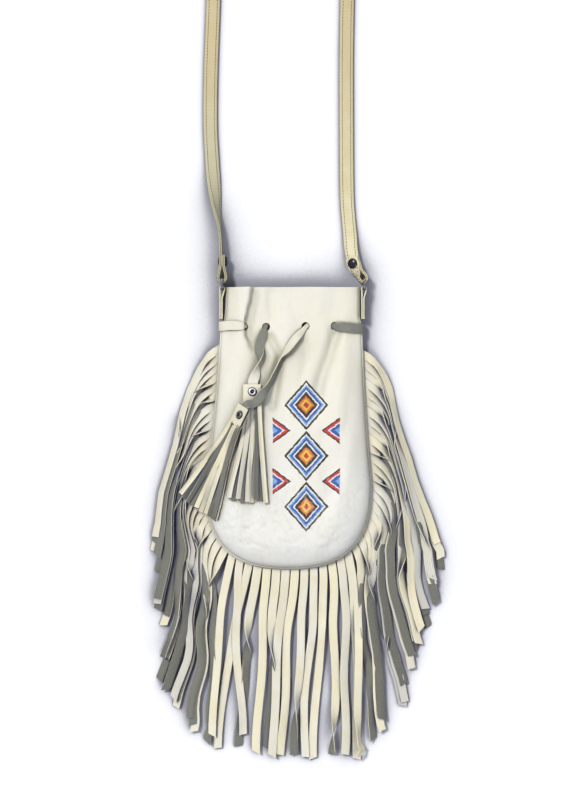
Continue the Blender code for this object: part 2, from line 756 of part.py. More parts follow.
for x, y, h, hw in ((-27.6, -45.2, 2.1, 2.9), (-26.6, -42.4, 1.5, 2.5), (-25.7, -39.5, 0.0, 2.3),
                    (-25.8, -36.8, -1.2, 2.6), (-27.0, -33.4, -1.7, 3.0), (-30.4, -30.2, -1.7, 3.2),
                    (-35.2, -30.0, -1.7, 3.2), (-39.6, -33.0, -1.7, 3.0), (-43.6, -36.6, -1.35, 2.7),
                    (-47.2, -39.4, 0.0, 2.0), (-50.6, -39.3, 1.7, 2.9), (-53.8, -38.9, 1.9, 4.0)):
    lace.append(by_front(x, y, h, hw, flip))
for x in (-57.5, -61.5):
    lace.append(by_front(x, -38.6, 2.0, 4.6, flip))


def ring_round(side, y):
    s = arc_at(y, side)
    p = outline(s)
    zs = seam_z(y)
    out = []
    for inset, dz, ang in ((2.4, 6.3, 58), (0.4, 4.4, 32), (-0.8, 1.9, 8), (-0.8, -1.9, -8),
                           (0.3, -4.1, -35), (2.8, -5.6, -70)):
        a = math.radians(ang)
        c = Vector((p.x - side * inset + side * 0.9, y, zs + dz + 0.35 * math.sin(a)))
        n = Vector((side * math.cos(a), 0, math.sin(a)))
        out.append((c, n))
    return out


for c, n in ring_round(-1, -38.8):
    lace.append((c, n * flip, 4.7))
under = BACK_RAISED - LEATHER / 2 - GAP - LACE_THICK / 2 - 0.3
above = BACK_RAISED + LEATHER / 2 + GAP + LACE_THICK / 2 + 0.3
for x, z, hw in ((-63.0, under, 4.7), (-55.0, under, 4.2), (-51.0, under, 3.0), (-47.0, BACK_RAISED, 2.6),
                 (-43.0, above, 3.0), (-36.0, above, 4.0), (-28.0, above, 3.0), (-24.0, BACK_RAISED, 2.6),
                 (-20.0, under, 3.0), (-13.0, under, 4.5), (8.0, under, 4.5), (16.0, under, 3.0),
                 (20.0, BACK_RAISED, 2.6), (24.0, above, 3.0), (32.0, above, 4.0), (40.0, above, 3.0),
                 (44.0, BACK_RAISED, 2.6), (48.0, under, 3.0), (55.0, under, 4.4), (62.0, under, 4.7)):
    yy = lerp(-38.8, -40.6, step((x - 44) / 20))
    if abs(x - 44) < 5 or x < 44:
        yy = lerp(-38.8, HOLES_Y, step((x + 60) / 12))
    lace.append((Vector((x, yy, z)), Vector((0, 0, -1)) * flip, hw))
for c, n in reversed(ring_round(1, -41.2)):
    lace.append((c, n * flip, 4.7))
for x, y, h, hw in ((61.5, -41.0, 2.0, 4.7), (56.0, -40.4, 1.9, 4.8), (51.0, -39.8, 2.0, 4.4),
                    (46.6, -39.0, 1.9, 3.0), (42.0, -38.5, 0.0, 2.3), (37.8, -37.8, -1.8, 2.6),
                    (33.0, -36.2, -1.7, 3.4), (26.0, -34.4, -1.7, 3.4), (20.4, -34.6, -1.7, 3.0),
                    (16.2, -36.4, -1.5, 2.4), (13.5, -38.8, 0.0, 2.2), (11.2, -41.4, 1.6, 2.4),
                    (9.2, -44.2, 2.0, 3.2)):
    lace.append(by_front(x, y, h, hw, flip))
d2 = Vector((-0.62, -0.78, 0))
for x, y, h, turn, hw in ((4.6, -50.0, 0.3, 180, 4.6), (-1.0, -57.0, 0.2, 180, 4.9),
                          (-5.2, -63.2, 0.2, 195, 4.5), (-8.6, -69.0, 0.2, 225, 3.6),
                          (-11.6, -74.6, 0.2, 262, 3.1), (-14.6, -79.8, 0.2, 305, 3.6),
                          (-18.0, -85.4, 0.4, 340, 4.5), (-21.2, -91.4, 0.6, 360, 4.7),
                          (-24.6, -98.4, 0.2, 360, 4.6), (-28.2, -105.2, 0.2, 360, 4.5),
                          (-32.6, -110.8, 0.4, 360, 4.5), (-37.6, -115.0, 1.2, 360, 4.5)):
    lace.append(on(over, x, y, h + clear(turn, hw), math.radians(turn), d2, hw))
for l in (-CAP_LONG / 2 - 0.8, 7.5):
    lace.append((F2[0] + F2[2] * l + F2[3] * mid, F2[3], 4.6))
string = ribbon("drawstring", frames(lace), LACE_THICK, material("lace_leather", CREAM, 0, 0.7))
for c, n in (r1, r2):
    punch(string, c, n, 1.2 + GAP, 2.6, 12)


# Shoulder strap: two layers, folded round a ring bar and riveted at both ends
def loop(frame, tail_to, run_to):
    u0 = 1.2
    r = 3.85
    pts = [(tail_to, 1.4), (tail_to - 5.0, 1.4), (tail_to - 9.5, 1.45), (10.8, 1.85), (7.8, 2.6), (4.6, 3.4)]
    for a in (90, 125, 155, 180, 205, 235, 270):
        k = math.radians(a)
        pts.append((u0 + r * math.cos(k), r * math.sin(k)))
    pts += [(4.6, -3.4), (7.8, -2.6), (10.8, -1.85), (run_to - 9.5, -1.45), (run_to - 5.0, -1.4), (run_to, -1.4)]
    out = []
    for u, h in pts:
        c, w, n = frame(u)
        out.append((c + n * h, w))
    return out


RING_HIGH_Y = RING_LOW_Y + RING_LONG


def left_frame(u):
    return Vector((RING_X[0], RING_HIGH_Y + u, RING_Z - 0.02 * u)), Vector((0, 0, -1)), Vector((1, 0, 0))


def right_frame(u):
    q = (Vector((RING_X[1], RING_HIGH_Y, RING_Z)), Vector((RING_X[1] - 6.4, 16.0, 9.9)),
         Vector((RING_X[1] - 11.4, 22.0, 8.2)), Vector((RING_X[1] - 12.2, 36.0, 6.2)))
    long = 0.0
    k = 0.0
    while k < 0.999 and long < u:
        long += (bezier(q, k + 0.01) - bezier(q, k)).length
        k += 0.01
    c = bezier(q, k)
    if u <= 0:
        c = q[0] + (q[1] - q[0]).normalized() * u
    t = (bezier(q, min(1, k + .02)) - bezier(q, max(0, k - .02))).normalized()
    turn = math.radians(lerp(90, 24, step((u - 2.5) / 14)))
    flat = t.cross(UP).normalized()
    up = flat.cross(t).normalized()
    w = flat * math.cos(turn) + up * math.sin(turn)
    return c, w, w.cross(t).normalized()


R_RIVET_U, L_RIVET_U = 18.5, 17.6
right_loop = loop(right_frame, 24.5, 24.5)
left_loop = loop(left_frame, 23.5, 23.5)
stations = [(c, w) for c, w in right_loop]
# the run on the right: how far inside its ring, distance up, height and twist (0 flat, 90 on edge)
for dx, y, z, turn in ((12.7, 41.0, 3.9, -12), (13.4, 53.0, 2.4, -4), (14.8, 68.0, 1.6, 0),
                       (16.5, 95.0, 1.55, 0), (17.0, 150.0, 1.55, 0), (17.1, 230.0, 1.55, 0),
                       (16.2, 290.0, 1.55, 0), (15.8, 330.0, 1.8, 8), (15.8, 365.0, 3.6, 30),
                       (16.0, 400.0, 6.3, 58), (16.2, 430.0, 7.1, 82), (16.4, STRAP_TOP_Y, 7.2, 90)):
    stations.append(((RING_X[1] - dx, y, z), turn))
left_in = -10.6
cx = (RING_X[0] + left_in + RING_X[1] - 16.4) / 2
rad = RING_X[1] - 16.4 - cx
for k in range(1, 10):
    a = math.pi * k / 10
    stations.append(((cx + rad * math.cos(a), STRAP_TOP_Y + rad * math.sin(a), 7.1), 90))
for dx, y, z, turn in ((left_in, STRAP_TOP_Y, 7.1, 90), (-10.2, 430.0, 7.0, 82), (-9.8, 400.0, 5.9, 58),
                       (-9.4, 365.0, 3.6, 30), (-9.2, 330.0, 1.8, 8), (-9.2, 288.0, 1.55, 0),
                       (-11.6, 218.0, 1.55, 0), (-12.2, 165.0, 1.55, 0), (-10.4, 126.0, 1.6, -3),
                       (-9.0, 107.0, 2.6, -18), (-7.4, 91.0, 4.6, -42), (-5.4, 76.0, 6.4, -66),
                       (-3.2, 62.0, 7.6, -84), (-1.9, 48.0, 8.6, -90), (-1.5, 38.0, 9.3, -90)):
    stations.append(((RING_X[0] + dx, y, z), turn))
mids = [s[0] if isinstance(s[0], Vector) else Vector(s[0]) for s in stations]
left_part = [(c, -w) for c, w in reversed(left_loop)]
mids += [c for c, _ in left_part]
ways = [s[1] for s in stations] + [w for _, w in left_part]
strap = []
for i, c in enumerate(mids):
    t = (mids[min(len(mids) - 1, i + 1)] - mids[max(0, i - 1)]).normalized()
    w = ways[i]
    if not isinstance(w, Vector):
        a = math.radians(abs(w))
        c.z = max(c.z, GAP + STRAP_WIDE / 2 * math.sin(a) + (STRAP_LAYER + GAP / 2) * math.cos(a))
        flat = t.cross(UP).normalized()
        up = flat.cross(t).normalized()
        a = math.radians(w)
        w = flat * math.cos(a) - up * math.sin(a)
    w = (w - t * w.dot(t)).normalized()
    strap.append((c, w, w.cross(t).normalized(), STRAP_WIDE / 2))
face = ribbon("strap_face", strap, STRAP_LAYER, material("strap_leather", STRAPCOL, 0, 0.6), STRAP_MID)
lining = ribbon("strap_lining", strap, STRAP_LAYER, material("strap_lining_leather", CREAM, 0, 0.7),
                -STRAP_MID)
for side, fr, u in (("right", right_frame, R_RIVET_U), ("left", left_frame, L_RIVET_U)):
    c, w, n = fr(u)
    half = 1.4 + 1.25
    rivet("strap_rivet_" + side, c, n, STRAP_RIVET_R, 1.5, -half - 0.55, half + 0.55, 2.5,
          material("strap_rivet_metal_" + side, METAL, 1.0, 0.2), 3.6)
    for obj in (face, lining):
        punch(obj, c, n, 1.5 + GAP, 9.0, 12)
# the strap swings about the upper bar of the left ring
pivot = bpy.data.objects.new("strap_pivot", None)
pivot.location = Vector((RING_X[0], RING_HIGH_Y, RING_Z)) * MM
pivot.empty_display_size = 0.01
COLL.objects.link(pivot)
for name in ("strap_face", "strap_lining", "strap_rivet_right", "strap_rivet_left"):
    obj = bpy.data.objects[name]
    obj.parent = pivot
    obj.matrix_parent_inverse = Matrix.Translation(-pivot.location)


# Rectangular rings, standing on edge, with their two bars upright
def ring(name, x, mat):
    hy = RING_LONG / 2
    hz = (RING_INNER + 2 * WIRE_R) / 2
    r = 2.2
    pts = []
    for cy, cz, a0 in ((hy - r, hz - r, 0), (-hy + r, hz - r, 90), (-hy + r, -hz + r, 180), (hy - r, -hz + r, 270)):
        for k in range(4):
            a = math.radians(a0 + 30 * k)
            pts.append((0, (cy + r * math.cos(a)) * MM, (cz + r * math.sin(a)) * MM))
    cu = bpy.data.curves.new(name, "CURVE")
    cu.dimensions = "3D"
    sp = cu.splines.new("POLY")
    sp.points.add(len(pts) - 1)
    for p, q in zip(sp.points, pts):
        p.co = (*q, 1)
    sp.use_cyclic_u = True
    cu.bevel_depth = WIRE_R * MM
    cu.bevel_resolution = 2
    cu.materials.append(mat)
    obj = bpy.data.objects.new(name, cu)
    COLL.objects.link(obj)
    hinge = Vector((x, RING_LOW_Y, RING_Z)) * MM
    obj.location = hinge
    for p in sp.points:
        p.co = (p.co[0], p.co[1] + hy * MM, p.co[2], 1)
    return obj


for side, x in zip(("left", "right"), RING_X):
    ring("ring_" + side, x, material("ring_metal_" + side, METAL, 1.0, 0.25))


# Side tabs: folded over the ring's lower bar and set against the side seam
for side, sgn, x in (("left", -1, RING_X[0]), ("right", 1, RING_X[1])):
    mat = material("tab_leather_" + side, CREAM, 0, 0.65)
    rr = WIRE_R + GAP + TAB_THICK / 2
    s = arc_at(TAB_END_Y, sgn)
    near = outline(s).x + sgn * (GAP + TAB_THICK / 2 + 0.1)
    far = near + sgn * (TAB_THICK + GAP)
    path = [(near, TAB_END_Y), (near, -20.0), (near, -11.0), (x - sgn * rr * 0.98, RING_LOW_Y - 2.0)]
    for a in (180, 150, 120, 90, 60, 30, 0):
        k = math.radians(a)
        path.append((x + sgn * rr * math.cos(k), RING_LOW_Y + rr * math.sin(k)))
    path += [(x + sgn * rr * 0.98, RING_LOW_Y - 2.0), (far, -11.0), (far, -20.0), (far, TAB_END_Y)]
    fr = []
    for i, (px, py) in enumerate(path):
        a = path[max(0, i - 1)]
        b = path[min(len(path) - 1, i + 1)]
        t = Vector((b[0] - a[0], b[1] - a[1], 0)).normalized()
        w = Vector((0, 0, 1))
        fr.append((Vector((px, py, RING_Z)), w, w.cross(t), TAB_WIDE / 2))
    ribbon("tab_" + side, fr, TAB_THICK, mat)
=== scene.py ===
# Looks of the leather drawstring pouch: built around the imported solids, in the same frame
import json
import math
import random

import bmesh
import bpy
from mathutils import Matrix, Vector, kdtree, noise

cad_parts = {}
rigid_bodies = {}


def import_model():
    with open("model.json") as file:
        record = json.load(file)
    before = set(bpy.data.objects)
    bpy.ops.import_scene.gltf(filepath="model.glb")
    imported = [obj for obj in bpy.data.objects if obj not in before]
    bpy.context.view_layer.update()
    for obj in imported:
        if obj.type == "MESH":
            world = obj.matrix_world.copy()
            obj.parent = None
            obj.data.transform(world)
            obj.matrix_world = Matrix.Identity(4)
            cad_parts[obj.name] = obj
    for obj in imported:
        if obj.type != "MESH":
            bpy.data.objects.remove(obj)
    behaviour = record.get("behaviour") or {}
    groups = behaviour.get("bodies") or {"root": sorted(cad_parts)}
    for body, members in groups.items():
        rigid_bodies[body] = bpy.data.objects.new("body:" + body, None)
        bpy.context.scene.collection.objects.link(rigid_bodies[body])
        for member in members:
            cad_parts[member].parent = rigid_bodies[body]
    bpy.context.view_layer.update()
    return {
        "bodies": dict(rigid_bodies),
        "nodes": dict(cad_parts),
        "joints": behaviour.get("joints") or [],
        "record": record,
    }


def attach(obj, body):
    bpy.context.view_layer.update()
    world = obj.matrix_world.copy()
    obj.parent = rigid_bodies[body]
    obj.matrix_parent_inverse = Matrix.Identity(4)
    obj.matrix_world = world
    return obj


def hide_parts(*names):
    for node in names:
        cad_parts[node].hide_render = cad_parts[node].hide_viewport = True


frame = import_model()


# Driving dimensions, in millimetres
MM = 0.001
GAP = 0.3                    # clearance between pieces that touch
LEATHER = 1.2                # body leather
FRINGE_THICK = 1.0
LACE_THICK = 1.0
LACE_WIDE = 10.0
MOUTH_HALF = 67.0            # half width of the flat mouth
SHOULDER = 2.6               # how much the body widens below the tabs
BELLY_EXTRA = 12.5
BELLY_Y = -195.0             # where the sides turn into the round bottom
BOTTOM_DROP = 85.0
ROUNDNESS = 2.6              # exponent of the rounded bottom
LEAN = 0.015                 # the body leans a little to the left as it goes down
MOUTH_SHIFT = 1.0
ROLL = 1.6                   # radius of the turned edge, to the middle of the leather
FLANGE = 3.3                 # seam allowance inside the turned edge
BELLY_HIGH = 30.0            # height of the front over the floor at the belly
MOUTH_HIGH = 16.0
PUFF = 36.0                  # width of the rounded edge of the front
SEAM_Z, SEAM_RISE = 6.0, 2.1
SEAM_SHUT = 0.15             # half of the gap where no fringe lies between
HOLE_R = 4.0
BACK_HOLE_R = 4.0
HOLES_Y = -39.0
FRONT_HOLES = ((-47.0, -39.0), (-25.7, -39.5), (13.5, -38.8), (42.0, -38.5))
BACK_HOLES = (-47.0, -24.0, 20.0, 44.0)
BACK_RAISED = 4.1            # middle of the back near the mouth, over the lace
FRINGE_TOP_LEFT = -57.0
FRINGE_TOP_RIGHT = -62.0
STRANDS = 59
STRAP_WIDE = 13.2
STRAP_LAYER = 1.1
STRAP_MID = (STRAP_LAYER + GAP) / 2
STRAP_BEVEL = 0.22
STRAP_TOP_Y = 449.0          # start of the turn that lies beyond the mouth
WIRE_R = 1.1
RING_LONG = 10.0             # distance between the ring's two bars
RING_INNER = 15.0            # inside length of a bar
RING_CORNER = 2.2            # radius of the wire's bends
RING_Z = 10.0
RING_LOW_Y = -1.6
RING_OUT = 3.4               # how far each ring stands outside the mouth's corner
RING_X = (MOUTH_SHIFT - MOUTH_HALF - RING_OUT, MOUTH_SHIFT + MOUTH_HALF + RING_OUT)
TAB_THICK = 1.5
TAB_WIDE = 11.6
TAB_END_Y = -31.5
EYELET_FLANGE = 0.8          # below a tassel's cap


UP = Vector((0, 0, 1))
FULL_TURN = 6.283


def step(t):
    t = max(0.0, min(1.0, t))
    return t * t * (3 - 2 * t)


def lerp(a, b, t):
    return a + (b - a) * t


def heading(pts, m):
    """Direction of a line of points at its point m."""
    return (pts[min(len(pts) - 1, m + 1)] - pts[max(0, m - 1)]).normalized()


def normal_of(surf, x, y, e):
    """Normal of a surface given by its height, from the heights at distance e round a point."""
    return Vector((surf(x - e, y) - surf(x + e, y), surf(x, y - e) - surf(x, y + e), 2 * e)).normalized()


def rolled(w, n, a):
    """A strip's width and normal, turned about its line."""
    return w * math.cos(a) + n * math.sin(a), n * math.cos(a) - w * math.sin(a)


# The U-shaped outline, from the left mouth corner round the bottom to the right one
def centre_x(y):
    return MOUTH_SHIFT * step((y + 45) / 30) + LEAN * y


def half_width(y):
    t = max(0.0, min(1.0, -y / -BELLY_Y))
    return MOUTH_HALF + SHOULDER * step((-y - 26) / 16) + 0.4 * step(-y / 90) + BELLY_EXTRA * t ** 1.75


def raw_outline():
    pts = []
    a = half_width(BELLY_Y)
    n = 60
    for i in range(n):
        y = BELLY_Y * i / n
        pts.append(Vector((centre_x(y) - half_width(y), y, 0)))
    for i in range(161):
        th = math.pi + math.pi * i / 160
        c, s = math.cos(th), math.sin(th)
        x = math.copysign(abs(c) ** (2 / ROUNDNESS), c) * a
        y = BELLY_Y - BOTTOM_DROP * abs(s) ** (2 / ROUNDNESS)
        pts.append(Vector((centre_x(y) + x, y, 0)))
    for i in range(n - 1, -1, -1):
        y = BELLY_Y * i / n
        pts.append(Vector((centre_x(y) + half_width(y), y, 0)))
    return pts


RAW = raw_outline()
ARC = [0.0]
for i in range(1, len(RAW)):
    ARC.append(ARC[-1] + (RAW[i] - RAW[i - 1]).length)
TOTAL = ARC[-1]


def outline(s):
    s = max(0.0, min(TOTAL, s))
    lo, hi = 0, len(ARC) - 1
    while hi - lo > 1:
        mid = (lo + hi) // 2
        if ARC[mid] <= s:
            lo = mid
        else:
            hi = mid
    f = (s - ARC[lo]) / max(1e-9, ARC[hi] - ARC[lo])
    return RAW[lo].lerp(RAW[hi], f)


def outward(s):
    d = outline(min(TOTAL, s + 4)) - outline(max(0.0, s - 4))
    return Vector((d.y, -d.x, 0)).normalized()


def arc_at(y, side):
    if side < 0:
        for i in range(len(RAW)):
            if RAW[i].y <= y:
                return ARC[i - 1] + (ARC[i] - ARC[i - 1]) * (RAW[i - 1].y - y) / max(
                    1e-9, RAW[i - 1].y - RAW[i].y)
    for i in range(len(RAW) - 1, -1, -1):
        if RAW[i].y <= y:
            return ARC[i] + (ARC[i + 1] - ARC[i]) * (y - RAW[i].y) / max(1e-9, RAW[i + 1].y - RAW[i].y)
    return 0.0


RIM = kdtree.KDTree(1601)
for k in range(1601):
    RIM.insert(outline(TOTAL * k / 1600), k)
RIM.balance()


def edge_distance(x, y):
    return RIM.find((x, y, 0.0))[2]


def seam_z(y):
    """Height of the seam over the floor, a little more near the mouth."""
    return SEAM_Z + SEAM_RISE * step((y + 100) / 45)


def seam_gap(y):
    """Half of the gap between front and back, which the fringe fills below its upper ends."""
    return SEAM_SHUT + (FRINGE_THICK / 2 + GAP - SEAM_SHUT) * (1 - step((y - FRINGE_TOP_LEFT) / 10))


def roll_centre(y, up):
    return seam_z(y) + up * (seam_gap(y) + LEATHER / 2 + ROLL)


# Heights of the middle of the front leather: a puffed edge, folds at the mouth and the lace
def bump(x, y, cx, cy, sx, sy):
    return math.exp(-((x - cx) / sx) ** 2 - ((y - cy) / sy) ** 2)


def near_line(x, y, pts, wide):
    best = 1e9
    for (ax, ay), (bx, by) in zip(pts, pts[1:]):
        dx, dy = bx - ax, by - ay
        t = max(0.0, min(1.0, ((x - ax) * dx + (y - ay) * dy) / (dx * dx + dy * dy)))
        best = min(best, math.hypot(x - ax - t * dx, y - ay - t * dy))
    return math.exp(-(best / wide) ** 2)


# the left pleat: a raised tube whose right side falls off steeply along this line
PLEAT = ((8, -39.0), (-10, -41.5), (-24, -44.8), (-33, -46.8), (-40, -47.6), (-48, -46.4), (-58, -42.5),
         (-70, -37.0), (-84, -31.0), (-100, -28.0))


def pleat_x(y):
    for (y0, x0), (y1, x1) in zip(PLEAT, PLEAT[1:]):
        if y >= y1:
            return lerp(x0, x1, step((y0 - y) / (y0 - y1)))
    return PLEAT[-1][1]


def pleat(x, y):
    d = x - pleat_x(y)
    soft = step((-y - 42) / 45)
    fall = lerp(1.7, 9.0, soft)
    strong = 1 - 0.93 * step((-y - 40) / 62)
    tube = 1 - step((d + fall) / (2 * fall))
    left = 0.45 + 0.55 * step((x + 70) / 14)
    valley = math.exp(-((d - fall - 3) / lerp(5.0, 8.0, soft)) ** 2)
    return strong * (5.4 * tube * left - 1.9 * valley)


def folds(x, y):
    z = pleat(x, y)
    z += 3.4 * bump(x, y, -6, -60, 14, 24)
    z -= 4.8 * near_line(x, y, ((44, -44), (37, -66), (29, -90), (20, -122)), 6.5)
    z -= 3.3 * near_line(x, y, ((-21, -50), (-12, -68), (-15, -90), (-19, -118)), 5.0)
    z -= 1.2 * near_line(x, y, ((12, -47), (14, -70), (8, -96)), 4.5)
    z -= (1.4 * near_line(x, y, ((-22, -6), (-20, -30)), 5.0)
          - 0.9 * near_line(x, y, ((30, -2), (27, -26)), 7.0))
    z += 1.6 * near_line(x, y, ((58, -10), (54, -80), (44, -130)), 8.0)
    z += 1.2 * math.exp(-((x - 18) / 12) ** 2) * step((y + 35) / 30)
    z -= 1.6 * near_line(x, y, ((-60, -150), (-38, -205), (-44, -250)), 8.0)
    z += 1.5 * near_line(x, y, ((62, -150), (50, -210), (22, -262)), 9.0)
    z -= 1.3 * near_line(x, y, ((30, -150), (36, -200), (20, -240)), 7.0)
    return z


def front_z(x, y):
    edge = roll_centre(y, 1) + ROLL
    high = MOUTH_HIGH + (BELLY_HIGH - MOUTH_HIGH) * step(-y / 150)
    d = max(0.0, edge_distance(x, y) - LEATHER / 2 - ROLL)
    t = min(1.0, d / PUFF)
    s = math.sqrt(max(0.0, 1 - (1 - t) ** 2))
    return edge + (high - edge) * s + folds(x, y) * step(d / 22)


def back_z(x, y):
    edge = roll_centre(y, -1) - ROLL
    flat = LEATHER / 2 + (BACK_RAISED - LEATHER / 2) * step((y + 80) / 24)
    d = max(0.0, edge_distance(x, y) - LEATHER / 2 - ROLL)
    return lerp(edge, flat, step(d / 13))


def front_point(x, y, h):
    n = normal_of(front_z, x, y, 1.5)
    return Vector((x, y, front_z(x, y))) + n * h, n


def table(rows, y):
    if y >= rows[0][0]:
        return rows[0][1]
    for (y0, v0), (y1, v1) in zip(rows, rows[1:]):
        if y >= y1:
            return lerp(v1, v0, (y - y1) / (y0 - y1))
    return rows[-1][1]


S0, S1 = arc_at(FRINGE_TOP_LEFT, -1), arc_at(FRINGE_TOP_RIGHT, 1)
PITCH = (S1 - S0) / STRANDS
STRAND_HALF = 0.455 * PITCH
BEND = 23.0                  # how far out a side strand turns down
BEND_SHARE = 0.80            # the most of the spread that the bend takes
LOWEST_ROOT = -262.0         # the height to which the side strands' roots are followed
OUTER_HALF = 4.2             # half width of the outermost strand
FIRST_LOW, LAST_LOW = 23, 36  # strands that hang straight down
# outer edge of the spread, by height; number of the outermost strand there, counted from the top
LEFT_EDGE = ((-57, -80), (-70, -90), (-85, -99), (-103, -108), (-123, -115), (-158, -123), (-179, -129),
             (-205, -137), (-240, -141), (-285, -138), (-313, -138), (-333, -135), (-352, -132),
             (-380, -130), (-404, -127), (-420, -121), (-436, -110), (-445, -98), (-452, -84))
LEFT_ENDS = ((-236, -0.6), (-285, 4.6), (-313, 6.6), (-333, 9), (-352, 11.2), (-380, 13.6), (-404, 15.6),
             (-420, 17.4), (-436, 19.4), (-445, 21.2), (-452, 23.2))
RIGHT_EDGE = ((-62, 78), (-71, 86), (-88, 98), (-101, 103), (-115, 106), (-133, 110), (-155, 117),
              (-169, 122), (-192, 128), (-210, 134), (-236, 144), (-262, 154), (-288, 147), (-303, 144),
              (-320, 139), (-348, 135), (-364, 127), (-388, 119), (-415, 108), (-430, 103),
              (-443, 98), (-452, 90), (-459, 82), (-463, 73))
RIGHT_ENDS = ((-252, -0.6), (-288, 2.6), (-303, 4.2), (-320, 6.6), (-348, 9.4), (-364, 12.2), (-388, 14.4),
              (-415, 16.6), (-430, 17.6), (-443, 18.6), (-452, 19.6), (-459, 20.6), (-463, 21.6))
TIPS = ((23, -78, -450), (26, -47, -454), (29, -17, -462), (32, 14, -463), (34, 38, -465), (36, 60, -464))


def at_level(y, side):
    return (arc_at(y, side) - S0) / PITCH - 0.5 if side < 0 else STRANDS - 0.5 - (arc_at(y, 1) - S0) / PITCH


def spread_at(i, y, side):
    """Where side strand i lies at a height, counted from the top, and how far the next one is."""
    edge, ends = (LEFT_EDGE, LEFT_ENDS) if side < 0 else (RIGHT_EDGE, RIGHT_ENDS)
    count = FIRST_LOW if side < 0 else STRANDS - 1 - LAST_LOW
    last = at_level(max(y + 20, LOWEST_ROOT), side)
    x_seam = outline(arc_at(max(y, LOWEST_ROOT), side)).x
    x_first = table(edge, y) - side * OUTER_HALF
    x_last = x_seam + side * min(BEND, BEND_SHARE * abs(x_first - x_seam))
    if y < LOWEST_ROOT + 40:
        f = step((LOWEST_ROOT + 40 - y) / 90)
        last = lerp(last, count, f)
        x_last = lerp(x_last, -76 if side < 0 else 62, f)
    first = table(ends, y)
    span = max(2.0, last - first)
    x = x_first + (x_last - x_first) * (i - first) / span
    return x, abs(x_last - x_first) / span


def side_tip(i, side):
    ends = LEFT_ENDS if side < 0 else RIGHT_ENDS
    for (y0, a), (y1, b) in zip(ends, ends[1:]):
        if i <= b:
            return lerp(y0, y1, (i - a) / (b - a))
    return ends[-1][0]


def bezier(p, t):
    m = 1 - t
    return p[0] * m ** 3 + p[1] * 3 * m * m * t + p[2] * 3 * m * t * t + p[3] * t ** 3


# What lies on the front rests on this height: the front inside the outline, the fringe outside
def support(x, y):
    d = edge_distance(x, y)
    inside = False
    if -281 < y < 0:
        if y > BELLY_Y:
            inside = abs(x - centre_x(y)) < half_width(y)
        else:
            q = min(1.0, (BELLY_Y - y) / BOTTOM_DROP)
            inside = abs(x - centre_x(y)) < half_width(BELLY_Y) * (1 - q ** ROUNDNESS) ** (1 / ROUNDNESS)
    if inside:
        return front_z(x, y) + LEATHER / 2
    return max(7.8, roll_centre(y, 1) + ROLL + LEATHER / 2 - 0.62 * d)


def smooth_support(x, y, r=3.0):
    k = [(0, 0)] + [(r * math.cos(a), r * math.sin(a)) for a in (0, 1.57, 3.14, 4.71)]
    vals = [support(x + a, y + b) for a, b in k]
    return max(vals[0], sum(vals) / len(vals))


def hump(x, y):
    cap = step((17 - abs(x + 38.5)) / 7) * step((y + 152) / 26) * step((-86 - y) / 9)
    strands = step((21 - abs(x + 42)) / 9) * step((-108 - y) / 8) * step((y + 226) / 12)
    return max(6.0 * cap, 3.6 * strands)


def over(x, y):
    return smooth_support(x, y) + hump(x, y)


def on(surf, x, y, h, turned=0.0, direction=None, hw=LACE_WIDE / 2):
    n = normal_of(surf, x, y, 2.0)
    c = Vector((x, y, surf(x, y))) + n * h
    if turned:
        t = (direction - n * direction.dot(n)).normalized()
        n = n * math.cos(turned) + t.cross(n) * math.sin(turned)
    return (c, n, hw)


# Tassels: a piece folded round the lace's end, riveted and slit below
def cap_frame(surf, top, down, cap_long, cap_half):
    down = Vector((*down, 0)).normalized()
    across = Vector((-down.y, down.x, 0))
    if across.x < 0:
        across = -across
    mid = Vector((*top, 0)) + down * cap_long / 2
    a, b = mid - across * 8, mid + across * 8
    c, d = mid - down * 9, mid + down * 9
    up = (b - a + UP * (surf(b.x, b.y) - surf(a.x, a.y))).cross(
        d - c + UP * (surf(d.x, d.y) - surf(c.x, c.y))).normalized()
    if up.z < 0:
        up = -up
    along = (down - up * down.dot(up)).normalized()
    side = up.cross(along).normalized()
    if side.x < 0:
        side = -side
    base = Vector((mid.x, mid.y, surf(mid.x, mid.y)))
    lift = 0.0
    for u in (-cap_half - 2, 0, cap_half):
        for v in (-cap_long / 2, 0, cap_long / 2):
            q = base + side * u + along * v
            lift = max(lift, (surf(q.x, q.y) - q.z) * up.z)
    return base + up * lift, side, along, up


def drape(surf, curve, gone, rest, half):
    """Heights along a tassel strand, so that it lies on the surface without cutting it."""
    n = DRAPE_SAMPLES
    need = []
    for j in range(n + 1):
        t = j / n
        q = bezier(curve, t)
        d = (bezier(curve, min(1, t + .02)) - bezier(curve, max(0, t - .02))).normalized()
        a = Vector((-d.y, d.x, 0)) * half
        h = [surf(q.x + a.x * k, q.y + a.y * k) for k in (-1, 0, 1)]
        need.append(max(h[1], (h[0] + h[2]) / 2) + lerp(gone, rest, step(t / 0.3)))
    ts = (0.0,) + TASSEL_STATIONS
    z = [need[round(t * n)] for t in ts]
    for _ in range(DRAPE_ROUNDS):
        for k in range(len(ts) - 1):
            low = 0.0
            for j in range(round(ts[k] * n), round(ts[k + 1] * n) + 1):
                f = (j / n - ts[k]) / (ts[k + 1] - ts[k])
                low = max(low, need[j] - lerp(z[k], z[k + 1], max(0.0, min(1.0, f))))
            if k > 0:
                z[k] += low
            z[k + 1] += low
    return list(zip(ts, z))[1:]


